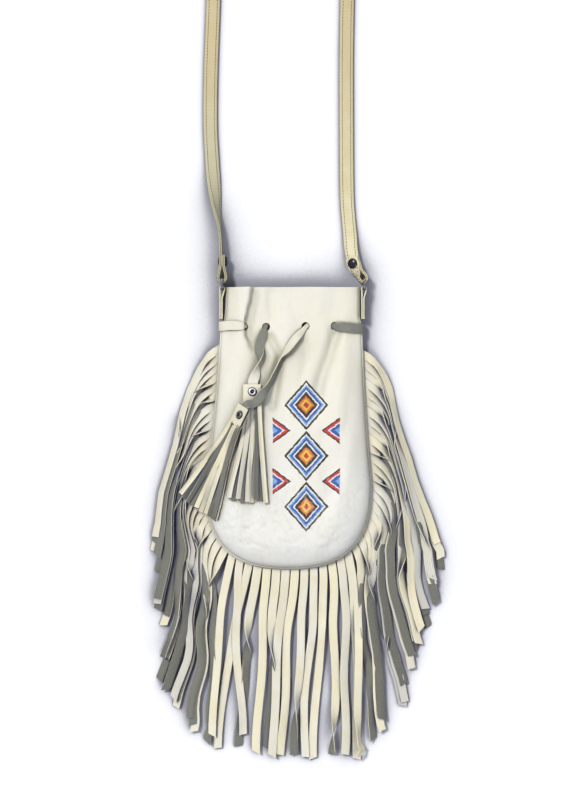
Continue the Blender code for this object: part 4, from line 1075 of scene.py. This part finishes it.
def panel(name, cols, rows, up, height, mats):
    turn = LEATHER / 2 + ROLL
    s_left, s_right = arc_at(CORNER_Y, -1), arc_at(CORNER_Y, 1)

    def side(s):
        q = outline(s) - outward(s) * turn
        if s <= 1e-6 or s >= TOTAL - 1e-6:
            q.y = 0.0
        return q

    def spread(i, n):
        t = i / n
        return lerp(t, 0.5 - 0.5 * math.cos(math.pi * t), EDGE_CROWD)

    left_s = [s_left * j / rows for j in range(rows + 1)]
    right_s = [TOTAL - (TOTAL - s_right) * j / rows for j in range(rows + 1)]
    bottom_s = [lerp(s_left, s_right, spread(i, cols)) for i in range(cols + 1)]
    lefts = [side(s) for s in left_s]
    rights = [side(s) for s in right_s]
    bottoms = [side(s) for s in bottom_s]
    verts, faces, index = [], [], {}
    for j in range(rows + 1):
        v = j / rows
        for i in range(cols + 1):
            u = spread(i, cols)
            top = lefts[0].lerp(rights[0], u)
            q = (top * (1 - v) + bottoms[i] * v + lefts[j] * (1 - u) + rights[j] * u
                 - (lefts[0] * (1 - u) * (1 - v) + rights[0] * u * (1 - v)
                    + bottoms[0] * (1 - u) * v + bottoms[-1] * u * v))
            if j == 0:
                q.y = 0.0
            rim = i in (0, cols) or j == rows
            z = roll_centre(q.y, up) + up * ROLL if rim else height(q.x, q.y)
            index[i, j] = len(verts)
            verts.append(Vector((q.x, q.y, z)))
    for j in range(rows):
        for i in range(cols):
            faces.append((index[i, j], index[i, j + 1], index[i + 1, j + 1], index[i + 1, j]))
    rim = ([(index[0, j], left_s[j]) for j in range(rows + 1)]
           + [(index[i, rows], bottom_s[i]) for i in range(1, cols)]
           + [(index[cols, j], right_s[j]) for j in range(rows, -1, -1)])
    last = [k for k, _ in rim]
    for ang in ROLL_ANGLES:
        row = []
        for k, s in rim:
            p, n = outline(s), outward(s)
            if ang is None:
                q = p - n * (turn + FLANGE)
                z = roll_centre(p.y, up) - up * ROLL
            else:
                r = math.radians(ang)
                q = p - n * (turn - ROLL * math.cos(r))
                z = roll_centre(p.y, up) + up * ROLL * math.sin(r)
            if s <= 1e-6 or s >= TOTAL - 1e-6:
                q.y = 0.0
            row.append(len(verts))
            verts.append(Vector((q.x, q.y, z)))
        for a in range(len(rim) - 1):
            faces.append((last[a], row[a], row[a + 1], last[a + 1]))
        last = row
    obj = finish_mesh(name, verts, faces, mats)
    me = obj.data
    middle = me.polygons[(rows // 2) * cols + cols // 2]
    if middle.normal.z * up < 0:
        me.flip_normals()
    s = obj.modifiers.new("thickness", "SOLIDIFY")
    s.thickness = LEATHER * MM
    s.offset = 0.0
    s.use_even_offset = False
    s.material_offset = 1
    s.material_offset_rim = 2
    return apply_modifiers(obj)


def punch(obj, centre, axis, radius, length, sides=40):
    bpy.ops.mesh.primitive_cylinder_add(vertices=sides, radius=radius * MM, depth=length * MM)
    c = bpy.context.active_object
    c.rotation_mode = "QUATERNION"
    c.rotation_quaternion = UP.rotation_difference(axis)
    c.location = centre * MM
    c.data.materials.append(EDGE)
    m = obj.modifiers.new("hole", "BOOLEAN")
    m.operation = "DIFFERENCE"
    m.solver = "EXACT"
    m.object = c
    apply_modifiers(obj)
    bpy.data.objects.remove(c, do_unlink=True)


def wrinkle(x, y, turn, length, width, seed):
    """Soft creases: ridges of stretched noise that run one way."""
    c, w = math.cos(turn), math.sin(turn)
    p = Vector(((x * c + y * w) / length, (y * c - x * w) / width, seed))
    v = abs(noise.noise(p) + 0.25 * noise.noise(p * 2.3))
    return math.exp(-(v / 0.07) ** 2)


def creased(x, y):
    """The front's height with the small dents and wrinkles of soft leather."""
    low = step((-y - 160) / 80)
    p = Vector((x, y, 0.0))
    z = 0.8 * noise.noise(p * 0.03) + 0.35 * noise.noise(p * 0.08 + Vector((7, 3, 0)))
    z -= 0.55 * low * (wrinkle(x, y, 0.5, 30, 11, 3.0) + wrinkle(x, y, -0.7, 26, 13, 9.0))
    z -= 0.22 * wrinkle(x, y, 1.4, 46, 15, 5.0)
    near_lace = bump(x, y, -25.7, -39.5, 9, 8) + bump(x, y, 13.5, -38.8, 9, 8) + bump(x, y, 42, -38.5, 9, 8)
    edge = step((edge_distance(x, y) - 4) / 14)
    away = 1 - 0.85 * step((16 - abs(x + 40)) / 10) * step((y + 235) / 20) * step((-60 - y) / 20)
    away *= 1 - 0.7 * min(1.0, near_line(x, y, LACE_WAY, 9.0))
    return front_z(x, y) + z * edge * away * step(-y / 6) - 0.35 * near_lace


LACE_WAY = ((13, -40), (-4, -62), (-18, -88), (-38, -116))
front = panel("pouch_front", 112, 140, 1, creased, [LEATHER_FRONT, FLESH, EDGE])
for hx, hy in FRONT_HOLES:
    p, n = front_point(hx, hy, 0.0)
    punch(front, p, n, HOLE_R, 7.0)
back = panel("pouch_back", 40, 60, -1, back_z, [LEATHER_BACK, FLESH, EDGE])
for hx in BACK_HOLES:
    punch(back, Vector((hx, HOLES_Y, BACK_RAISED)), UP, BACK_HOLE_R, 6.0)
for obj, node in ((front, "front_panel"), (back, "back_panel")):
    sharpen(obj, 50)
    dress(obj, "bag", node, "panel_leather")


# Fringe: side strands gather in bundles that lie over one another, bottom ones hang side by side
BUNDLE_SIZES = (1, 2, 2, 3, 3, 3)
STRAND_RISE = 1.45           # how far each strand of a bundle lies over the next
BUNDLE_RISE = 4.6            # how far every other bundle lies over its neighbours
PHASES = (0, 6.28)
STRAND_STEP = 3.6            # from station to station along a hanging strand


def clumps(count, rng):
    """For each strand: its bundle's middle, its height, the bundle's wave and drift, and its turns."""
    out, high = [], False
    while len(out) < count:
        size = min(rng.choice(BUNDLE_SIZES), count - len(out))
        first = len(out)
        amp, wave, phase = rng.uniform(0.6, 2.2), rng.uniform(60, 150), rng.uniform(*PHASES)
        drift = rng.uniform(-1, 1) ** 3 * 4.0
        plan = turns(rng, rng.uniform(4, 18))
        for m in range(size):
            out.append((first + (size - 1) / 2,
                        STRAND_RISE * (size - 1 - m) + (BUNDLE_RISE if high else 0.0),
                        amp, wave, phase, drift, plan))
        high = not high
    return out


def twist(along, plan):
    """Angle of a strand at a share of its length: each turn is (start, length, degrees)."""
    return sum(math.radians(a) * step((along - at) / run) for at, run, a in plan)


def turns(rng, tilt):
    plan = [(0.04, 0.25, tilt)]
    for _ in range(rng.choice((1, 2, 3))):
        at = rng.uniform(0.3, 0.8)
        size = rng.uniform(12, 36) * rng.choice((-1, 1))
        plan += [(at, 0.12, size), (at + rng.uniform(0.12, 0.2), 0.14, -size * rng.uniform(0.6, 1.2))]
    return plan


def side_strand(i, side, group, rng, flip):
    k = i if side < 0 else STRANDS - 1 - i
    centre, raised, amp, wave, phase, drift, plan = group[k]
    s = S0 + (i + 0.5) * PITCH
    n, root = outward(s), outline(s)
    zs = seam_z(root.y)
    start = root.y - 14
    end = side_tip(k, side) + rng.uniform(-7, 7)
    kg = centre + (k - centre) * 0.34

    def at(y):
        f = step((start - y) / 80)
        kk = lerp(k, kg, f)
        x, p = spread_at(kk, y, side)
        low = step((start - 70 - y) / 110)
        f *= step((p - 1.6) / 2.4)
        return x + f * amp * math.sin(FULL_TURN * y / wave + phase) + drift * low, p * 0.95, f

    join = root.y - 34 - 6 * step((-root.y - 60) / 40)
    b3 = Vector((at(join)[0], join, 0))
    b2 = b3 + (Vector((at(join + 3)[0], join + 3, 0)) - b3).normalized() * 13
    out_way = (n + Vector((0, -0.55, 0))).normalized()
    curve = (root.copy(), root + out_way * 0.42 * (b3 - root).length, b2, b3)
    flat = [bezier(curve, t) for t in (-0.12, 0.0, 0.1, 0.22, 0.34, 0.46, 0.58, 0.7, 0.84, 1.0)]
    count = max(6, int((join - end) / STRAND_STEP))
    flat += [Vector((at(lerp(join, end, m / count))[0], lerp(join, end, m / count), 0))
             for m in range(1, count + 1)]
    flips = [(at, rng.uniform(0.14, 0.22), 180 * rng.choice((-1, 1))) for at in flip]
    out, angles = [], []
    far = 0.0
    total = sum((q - r).length for q, r in zip(flat[1:], flat))
    for m, c in enumerate(flat):
        if m:
            far += (c - flat[m - 1]).length
        _, p, f = at(min(c.y, start))
        tilt = math.asin(min(0.93, 1.15 / max(1.2, p))) * step((11.0 - p) / 2.0) * step((far - 12) / 14)
        angle = lerp(tilt, twist(far / total, plan), f) + twist(far / total, flips)
        lift = STRAND_HALF * abs(math.sin(angle))
        rest = 0.62 + lift + raised * step((far - 42) / 75)
        out.append(Vector((c.x, c.y, lerp(zs + lift * 0.6, rest, step((far - 3) / 60)))))
        angles.append(angle)
    return out, angles


# two strands that cross at the lower left, and how far each one's end lies aside
CROSSING = {24: 12, 25: -15}
LOW_STATIONS = 44            # points along a strand that hangs straight down


def low_strand(i, rng, flip):
    s = S0 + (i + 0.5) * PITCH
    n, root = outward(s), outline(s)
    zs = seam_z(root.y)
    for a, b in zip(TIPS, TIPS[1:]):
        if i <= b[0]:
            t = (i - a[0]) / (b[0] - a[0])
            end = Vector((lerp(a[1], b[1], t), lerp(a[2], b[2], t), 0))
            break
    end += Vector((rng.uniform(-6, 6) + CROSSING.get(i, 0), rng.uniform(-7, 7), 0))
    run = (end - root).length
    bow = min(1.0, abs(n.x))
    curve = (root.copy(), root + n * 16 + Vector((0, -26 * bow - 4, 0)), end + Vector((0, run * 0.4, 0)), end)
    amp, wave, phase = rng.uniform(0.6, 2.3), rng.uniform(16, 32), rng.uniform(*PHASES)
    raised = 1.5 * (i % 2) + rng.choice((0.0, 3.0))
    plan = [(at, share, size * 0.45) for at, share, size in turns(rng, rng.uniform(-20, 20))]
    plan += [(at, rng.uniform(0.28, 0.38), 180 * rng.choice((-1, 1))) for at in flip]
    out, angles = [], []
    for m in range(LOW_STATIONS):
        t = -0.02 + 1.02 * m / (LOW_STATIONS - 1)
        c = bezier(curve, t)
        far = (c - root).length
        c.x += amp * math.sin(far / wave + phase) * step((far - 14) / 50)
        f = step((far - 1) / 26)
        angle = twist(t, plan) * f
        rest = 0.70 + raised * step((far - 20) / 50) * (1 - 0.12 * t) + STRAND_HALF * abs(math.sin(angle))
        c.z = lerp(zs, rest, step((far - 1) / 105))
        out.append(c)
        angles.append(angle)
    return out, angles


def add_strand(body, path, angles, side, rng):
    # each strand's random tone: low values get more of the grey that is partly painted shade, and side
    # strands can go darker than bottom ones
    bright = rng.uniform(0.1, 1.0 - 0.1 * (side < 0)) if side else rng.uniform(0.35, 1.0)
    curl = rng.uniform(-0.2, 0.9)
    hw = STRAND_HALF * rng.uniform(0.90, 1.02)
    slant = rng.uniform(-2.6, 2.6)
    rings, tones = [], []
    n = len(path)
    for m, c in enumerate(path):
        d = heading(path, m)
        w = Vector((-d.y, d.x, 0)).normalized()
        w, nn = rolled(w, d.cross(w).normalized(), -angles[m] * (side or 1))
        along = m / (n - 1)
        ring = strip_ring(c, w, nn, hw, FRINGE_THICK, curl * step(along * 4))
        if m == n - 1:
            ring = [p + d * slant * (p - c).dot(w) / hw for p in ring]
        rings.append(ring)
        tones.append(strip_tone(0.0, bright, along))
    body.sweep(rings, tones)


def margin(body, s0, s1):
    """The uncut edge of the strip, held in the seam."""
    rings, tones = [], []
    count = int((s1 - s0) / 4)
    for m in range(count + 1):
        s = lerp(s0, s1, m / count)
        p, n = outline(s), outward(s)
        c = Vector((*(p - n * 1.7).xy, seam_z(p.y)))
        rings.append(strip_ring(c, n, UP, 2.7, FRINGE_THICK))
        tones.append(strip_tone(0.0, 0.7, 0.0))
    body.sweep(rings, tones)


# where along its length a strand turns over to its flesh side, and back again
FLIPS = {1: (0.30,), 3: (0.05,), 4: (0.34,), 5: (0.03,), 6: (0.30,), 8: (0.05,), 9: (0.42,), 11: (0.04,),
         12: (0.22,), 14: (0.05,), 15: (0.36,), 17: (0.10,), 19: (0.06,), 20: (0.30,), 22: (0.12,),
         26: (0.34,), 28: (0.40,), 31: (0.62,), 34: (0.74,),
         38: (0.06,), 40: (0.30,), 41: (0.05, 0.60), 43: (0.12,), 45: (0.04,), 46: (0.24,), 48: (0.04, 0.50),
         50: (0.05,), 51: (0.30,), 53: (0.04,), 54: (0.20, 0.66), 56: (0.05,)}
rng = random.Random(11)
group_l, group_r = clumps(FIRST_LOW + 1, rng), clumps(STRANDS - LAST_LOW, rng)
for name, node, first, last in (("fringe_strands_left", "fringe_left", 0, 25),
                                ("fringe_strands_bottom", "fringe_bottom", 25, 35),
                                ("fringe_strands_right", "fringe_right", 35, STRANDS)):
    body = Build()
    margin(body, S0 + (first + 0.05) * PITCH, S0 + (last - 0.05) * PITCH)
    for i in range(first, last):
        if i < FIRST_LOW:
            path, angles = side_strand(i, -1, group_l, rng, FLIPS.get(i, ()))
            add_strand(body, path, angles, -1, rng)
        elif i > LAST_LOW:
            path, angles = side_strand(i, 1, group_r, rng, FLIPS.get(i, ()))
            add_strand(body, path, angles, 1, rng)
        else:
            path, angles = low_strand(i, rng, FLIPS.get(i, ()))
            add_strand(body, path, angles, 0, rng)
    dress(body.make(name, [SPLIT]), "bag", node, "fringe_leather")


# Flat bands along a line of (middle, normal, half width)
def band(body, pts, thick, tone, curl):
    rings, tones = [], []
    middles = [p[0] for p in pts]
    for m, (c, nrm, hw) in enumerate(pts):
        t = heading(middles, m)
        w = t.cross(nrm).normalized()
        rings.append(strip_ring(c, w, w.cross(t).normalized(), hw, thick, curl, 0.0))
        tones.append(tone(m / (len(pts) - 1)))
    body.sweep(rings, tones)


# Drawstring: two free ends with tassels, and the run that is threaded through the holes
HOLE_1, HOLE_2 = 13, 67      # the lace's points in the holes where its free ends come out
LACE_STEP, TASSEL_STEP, STRAP_STEP = 2.2, 4.0, 5.0
free_1 = smooth_line(list(reversed(lace[:HOLE_1 + 1])), LACE_STEP)
free_2 = smooth_line(lace[HOLE_2:], LACE_STEP)
threaded = smooth_line(lace[HOLE_1:HOLE_2 + 1], LACE_STEP)


def lace_piece(name, pts, tone):
    body = Build()
    band(body, pts, LACE_THICK, tone, 0.12)
    return dress(body.make(name, [LACE_MAT]), "bag", "drawstring", "lace_leather")


def round_tone(t):
    flesh = 1.0 if 0.10 < t < 0.42 or t > 0.95 else 0.0
    return strip_tone(flesh, 0.6, t)


lace_1 = lace_piece("lace_end_left", free_1, lambda t: strip_tone(0.0, 0.75, t))
lace_2 = lace_piece("lace_end_right", free_2, lambda t: strip_tone(1.0, 0.75, t))
lace_piece("lace_threaded", threaded, round_tone)


# Tassels: a cap folded round the lace's end, and two layers of strands
def tassel_piece(name, node, surf, fr, tips, flesh, rng):
    centre, across, down, up = fr
    top = centre - down * CAP_LONG / 2
    n = len(tips) // 2
    layer = FRINGE_THICK + LACE_THICK + 2 * GAP
    low = cap_low + FRINGE_THICK / 2
    pitch = 2 * CAP_HALF / n
    body = Build()

    def place(a, l, h):
        return top + across * a + down * l + up * h

    line = [(CAP_HALF - 0.1, low + layer), (CAP_HALF * 0.3, low + layer + 0.1),
            (-CAP_HALF * 0.6, low + layer)]
    r = layer / 2
    line += [(-CAP_HALF - 0.9 * r * math.sin(q), low + r + r * math.cos(q))
             for q in (0, .52, 1.05, 1.57, 2.09, 2.62, 3.14)]
    line += [(-CAP_HALF * 0.6, low), (CAP_HALF * 0.3, low), (CAP_HALF - 0.1, low)]
    outer, inner = [], []
    for m, (a, h) in enumerate(line):
        t = heading([Vector(p) for p in line], m)
        nn = Vector((t.y, -t.x)) * FRINGE_THICK / 2
        outer.append((a + nn.x, h + nn.y))
        inner.append((a - nn.x, h - nn.y))
    ring = outer + list(reversed(inner))
    tone = [(0.0, 0.85, 0.0)] * len(outer) + [(1.0, 0.5, 0.0)] * len(inner)
    rings = [[place(a, l, h) for a, h in ring] for l in (0.0, 0.5, 6, 12, CAP_LONG - 0.4, CAP_LONG)]
    body.sweep(rings, [tone] * len(rings))
    for k in range(2 * n):
        upper = k < n
        a = CAP_HALF - (k + 0.5) * pitch if upper else -CAP_HALF + (k - n + 0.5) * pitch
        h = low + layer if upper else low
        start = place(a, CAP_LONG, h)
        root = Vector((start.x, start.y, 0))
        gone = (start.z - surf(start.x, start.y)) * up.z
        flat = Vector((down.x, down.y, 0)).normalized()
        end = Vector((*tips[k][:2], 0))
        run = (end - root).length
        side = Vector((-flat.y, flat.x, 0)) * rng.uniform(-3, 3)
        curve = (root, root + flat * run * 0.3 + side, end - (end - root) * 0.3 - side * 0.6, end)
        wide = tips[k][2]
        rest = GAP + FRINGE_THICK / 2 + (2.1 if upper else 0.6)
        bright, curl = rng.uniform(0.5, 1.0), rng.uniform(0.0, 0.9)
        hw = wide * 0.86
        shingle = math.radians(rng.uniform(9, 17))
        lean = math.radians(rng.uniform(-6, 34))
        pts = [(place(a, CAP_LONG - 1.2, h), up, hw), (place(a, CAP_LONG - 0.3, h), up, hw)]
        for t, z in drape(surf, curve, gone, rest, max(hw, wide)):
            q = bezier(curve, t)
            nn = normal_of(surf, q.x, q.y, 9.0)
            half = lerp(hw, wide, step(t / 0.6))
            nn = up.lerp(nn, step(t / 0.2)).normalized()
            turned = lerp(shingle, lean, step((t - 0.2) / 0.5))
            nn = nn * math.cos(turned) + Vector((-flat.y, flat.x, 0)) * math.sin(turned)
            pts.append((Vector((q.x, q.y, z + half * abs(math.sin(turned)) * 0.7)), nn, half))
        band(body, smooth_line(pts, TASSEL_STEP), FRINGE_THICK * 0.92,
             lambda t: strip_tone(1.0 if k in flesh else 0.0, bright, t), curl)
    return dress(body.make(name, [SPLIT]), "bag", node, "tassel_leather")


rng = random.Random(5)
tassel_1 = tassel_piece("tassel_strands_left", "tassel_left", smooth_support, F1, T1_TIPS, {1, 5, 6, 8}, rng)
tassel_2 = tassel_piece("tassel_strands_right", "tassel_right", over, F2, T2_TIPS, {0, 3, 5, 6, 8}, rng)


# Turned metal pieces: a profile of (radius, height, material)
def lathe(name, node, prof, centre, axis, mats, body_name, slot, steps=48):
    rot = UP.rotation_difference(axis)
    verts, faces, idx = [], [], []
    for k in range(steps):
        a = 2 * math.pi * k / steps
        for r, h, _ in prof:
            verts.append(centre + rot @ Vector((r * math.cos(a), r * math.sin(a), h)))
    m = len(prof)
    for k in range(steps):
        q = (k + 1) % steps
        for j in range(m - 1):
            faces.append((k * m + j, q * m + j, q * m + j + 1, k * m + j + 1))
            idx.append(prof[j][2])
    faces.append(tuple(k * m for k in range(steps)))
    faces.append(tuple(k * m + m - 1 for k in reversed(range(steps))))
    idx += [prof[0][2], prof[-1][2]]
    return dress(sharpen(finish_mesh(name, verts, faces, mats, idx), 50), body_name, node, slot)


rivets = []
for side, fr, a, l, ring_mat in (("left", F1, -0.4, -2.4, SILVER), ("right", F2, 0.6, -0.6, GUNMETAL)):
    lo, hi = cap_low - GAP, cap_high + GAP
    c = fr[0] + fr[1] * a + fr[2] * l
    prof = [(0.3, lo - EYELET_FLANGE, 0), (2.8, lo - EYELET_FLANGE, 0), (2.8, lo, 0), (1.2, lo, 0),
            (1.2, hi, 0), (4.3, hi, 0), (4.35, hi + 0.35, 0), (4.1, hi + 0.75, 0), (3.75, hi + 0.85, 1),
            (3.45, hi + 1.35, 1), (2.95, hi + 1.75, 1), (2.45, hi + 1.75, 1), (2.05, hi + 1.45, 0),
            (1.85, hi + 0.9, 0), (1.5, hi + 0.55, 0), (0.3, hi + 0.5, 0)]
    rivets.append(lathe("tassel_eyelet_" + side, "tassel_rivet_" + side, prof, c, fr[3], [BLACK, ring_mat],
                        "bag", "rivet_metal"))
for side, fr, u in (("right", right_frame, R_RIVET_U), ("left", left_frame, L_RIVET_U)):
    c, w, n = fr(u)
    hi = 1.4 + 1.25 + 0.55
    prof = [(0.3, -hi - 0.8, 0), (3.3, -hi - 0.8, 0), (3.6, -hi - 0.5, 0), (3.6, -hi, 0), (1.5, -hi, 0),
            (1.5, hi, 0), (4.8, hi, 0), (5.0, hi + 0.2, 0), (5.0, hi + 0.55, 0)]
    for k in range(1, 10):
        q = math.pi / 2 * k / 10
        prof.append((5.0 * math.cos(q), hi + 0.55 + 1.9 * math.sin(q), 0))
    lathe("strap_stud_" + side, "strap_rivet_" + side, prof, c, n, [BLACK], "strap", "rivet_metal")

for end, free, tassel, rivet in ((lace_1, free_1, tassel_1, rivets[0]),
                                 (lace_2, free_2, tassel_2, rivets[1])):
    long = sum((b[0] - a[0]).length for a, b in zip(free, free[1:]))
    [c * MM for c, _, _ in free]


# Strap: two layers sewn along both edges
line = smooth_line([(c, w, n) for c, w, n, _ in strap], STRAP_STEP)
line = [(c, w.normalized(), n.normalized()) for c, w, n in line]
# the tone's second value marks each layer's margins outside the stitch lines, where strap_leather paints
# shade
EDGE_TONE = [(0.0, 0.92 if abs(u) > 0.9 else 0.5, 0.0) for u in TOPS]
RING_TONE = EDGE_TONE + [(0.0, 0.9, 0.0)] * 2 + EDGE_TONE + [(0.0, 0.9, 0.0)] * 2
for name, node, shift, mat, slot in (("strap_top_layer", "strap_face", STRAP_MID, STRAP_MAT, "strap_leather"),
                                     ("strap_under_layer", "strap_lining", -STRAP_MID, STRAP_LOW,
                                      "strap_lining_leather")):
    body = Build()
    rings = [strip_ring(c, w, n, STRAP_WIDE / 2, STRAP_LAYER, 0.0, shift, STRAP_BEVEL) for c, w, n in line]
    body.sweep(rings, [RING_TONE] * len(rings))
    dress(body.make(name, [mat]), "strap", node, slot)
body = Build()
STITCH, STITCH_HALF = 3.2, 1.15      # from stitch to stitch, and half of one's length
THREAD_R, STITCH_INSET, STITCH_SUNK = 0.42, 2.5, 0.08
STITCH_SHAPE = ((-1.0, 0.35), (-0.7, 0.9), (0.0, 1.0), (0.7, 0.9), (1.0, 0.35))
STITCH_SIDES = (0.5, 1.57, 2.64, 3.8, 4.71, 5.6)
dist, want = 0.0, 6.0
for a, b in zip(line, line[1:]):
    seg = (b[0] - a[0]).length
    t = (b[0] - a[0]).normalized()
    while want < dist + seg:
        f = (want - dist) / seg
        c = a[0].lerp(b[0], f)
        w, n = a[1].lerp(b[1], f).normalized(), a[2].lerp(b[2], f).normalized()
        for e in (-1, 1):
            for up in (-1, 1):
                m = (c + w * e * (STRAP_WIDE / 2 - STITCH_INSET)
                     + n * up * (STRAP_MID + STRAP_LAYER / 2 - STITCH_SUNK))
                body.sweep([[m + t * l * STITCH_HALF + w * THREAD_R * r * math.cos(q)
                             + n * THREAD_R * r * math.sin(q) for q in STITCH_SIDES]
                            for l, r in STITCH_SHAPE])
        want += STITCH
    dist += seg
stitches = body.make("strap_stitching", [THREAD], 80)
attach(stitches, "strap")


# Rings and tabs
WIRE_SIDES = 16              # faces round the wire
for side, sgn, x in (("left", -1, RING_X[0]), ("right", 1, RING_X[1])):
    hy, hz, r = RING_LONG / 2, (RING_INNER + 2 * WIRE_R) / 2, RING_CORNER
    pts = []
    for cy, cz, a0 in ((hy - r, hz - r, 0), (-hy + r, hz - r, 90),
                       (-hy + r, -hz + r, 180), (hy - r, -hz + r, 270)):
        for k in range(9):
            a = math.radians(a0 + 90 * k / 8)
            pts.append(Vector((x, RING_LOW_Y + hy + cy + r * math.cos(a), RING_Z + cz + r * math.sin(a))))
    body = Build()
    rings = []
    for k, p in enumerate(pts):
        t = (pts[(k + 1) % len(pts)] - pts[k - 1]).normalized()
        u = Vector((1, 0, 0))
        v = t.cross(u).normalized()
        rings.append([p + (u * math.cos(q) + v * math.sin(q)) * WIRE_R
                      for q in [FULL_TURN * j / WIRE_SIDES for j in range(WIRE_SIDES)]])
    body.sweep(rings, closed=True)
    dress(body.make("wire_ring_" + side, [GUNMETAL], 80), side + "_ring", "ring_" + side, "ring_metal")
    rr = WIRE_R + GAP + TAB_THICK / 2
    near = outline(arc_at(TAB_END_Y, sgn)).x + sgn * (GAP + TAB_THICK / 2 + 0.1)
    far = near + sgn * (TAB_THICK + GAP)
    path = [(near, TAB_END_Y), (near, -20.0), (near, -11.0), (x - sgn * rr * 0.98, RING_LOW_Y - 2.0)]
    for k in range(13):
        q = math.radians(180 - 15 * k)
        path.append((x + sgn * rr * math.cos(q), RING_LOW_Y + rr * math.sin(q)))
    path += [(x + sgn * rr * 0.98, RING_LOW_Y - 2.0), (far, -11.0), (far, -20.0), (far, TAB_END_Y)]
    body = Build()
    pts = [Vector((px, py, RING_Z)) for px, py in path]
    rings = [strip_ring(c, UP, UP.cross(heading(pts, m)).normalized(), TAB_WIDE / 2, TAB_THICK, 0.0, 0.0, 0.3)
             for m, c in enumerate(pts)]
    body.sweep(rings, [[(0.0, 0.7, 0.0)] * len(rings[0])] * len(rings))
    dress(body.make("side_tab_" + side, [TAB_MAT]), "bag", "tab_" + side, "tab_leather")


# Floor, light and camera
FLOOR_SIZE, FLOOR_Z = 9.0, -0.0003   # metres
HALO = 0.055                 # how far the painted shade on the floor reaches round the bag, in metres
SENSOR, LENS = 36.0, 85.0
CAMERA_AT = (-0.001, -0.112, 1.889)  # straight above, looking down


def seen_rays(tree):
    """1 for rays from the camera, a mirror or glass, which see the white surroundings, and 0 for light."""
    path = tree.nodes.new("ShaderNodeLightPath").outputs
    seen = path["Is Camera Ray"]
    for other in ("Is Glossy Ray", "Is Transmission Ray"):
        most = tree.nodes.new("ShaderNodeMath")
        most.operation = "MAXIMUM"
        tree.links.new(seen, most.inputs[0])
        tree.links.new(path[other], most.inputs[1])
        seen = most.outputs[0]
    return seen


def floor_material():
    n = Nodes("floor_white")
    seen = seen_rays(n.nt)
    near = n.nt.nodes.new("ShaderNodeAmbientOcclusion")
    near.samples = 8
    near.inputs["Distance"].default_value = HALO
    # painted shade: the floor's colour and its glow darken round the bag and between the strands, where
    # ambient occlusion finds them near
    open_sky = n.remap(near.outputs["AO"], 0.66, 1.0)
    floor_with_painted_shade = n.mix(open_sky, (0.36, 0.36, 0.42), (0.93, 0.93, 0.955))
    colour = n.mix(seen, (0.42, 0.43, 0.46), floor_with_painted_shade)
    n.bsdf.inputs["Emission Color"].default_value = (1, 1, 1, 1)
    n.put(n.bsdf.inputs["Emission Strength"], n.mul(n.mul(seen, open_sky), 0.12))
    return n.done(colour, 1.0, Specular_IOR_Level=0.0)


bpy.ops.mesh.primitive_plane_add(size=FLOOR_SIZE, location=(0, 0, FLOOR_Z))
floor = bpy.context.active_object
floor.name = "floor"
floor.data.materials.append(floor_material())


def sun(name, azimuth, elevation, strength, spread, colour):
    light = bpy.data.lights.new(name, "SUN")
    light.energy = strength
    light.angle = math.radians(spread)
    light.color = colour
    obj = bpy.data.objects.new(name, light)
    a, e = math.radians(azimuth), math.radians(elevation)
    obj.rotation_euler = Vector((math.cos(a) * math.cos(e), math.sin(a) * math.cos(e),
                                 math.sin(e))).to_track_quat("Z", "Y").to_euler()
    bpy.context.scene.collection.objects.link(obj)


sun("key", azimuth=136, elevation=55, strength=2.45, spread=12, colour=(1.0, 0.985, 0.95))
sun("fill", azimuth=-45, elevation=50, strength=0.95, spread=40, colour=(0.92, 0.94, 1.0))
world = bpy.data.worlds.new("studio")
bpy.context.scene.world = world
world.use_nodes = True
tree = world.node_tree
sky = tree.nodes["Background"]
sky.inputs["Color"].default_value = (0.80, 0.86, 1.0, 1)
sky.inputs["Strength"].default_value = 0.20
white = tree.nodes.new("ShaderNodeBackground")
white.inputs["Color"].default_value = (1, 1, 1, 1)
pick = tree.nodes.new("ShaderNodeMixShader")
for source, socket in ((seen_rays(tree), pick.inputs[0]), (sky.outputs[0], pick.inputs[1]),
                       (white.outputs[0], pick.inputs[2]),
                       (pick.outputs[0], tree.nodes["World Output"].inputs[0])):
    tree.links.new(source, socket)

cam = bpy.data.cameras.new("camera")
cam.type = "PERSP"
cam.sensor_width = SENSOR
cam.lens = LENS
cam.clip_end = 20.0
camera = bpy.data.objects.new("camera", cam)
camera.location = CAMERA_AT
bpy.context.scene.collection.objects.link(camera)
bpy.context.scene.camera = camera
bpy.context.scene.view_settings.view_transform = "Standard"
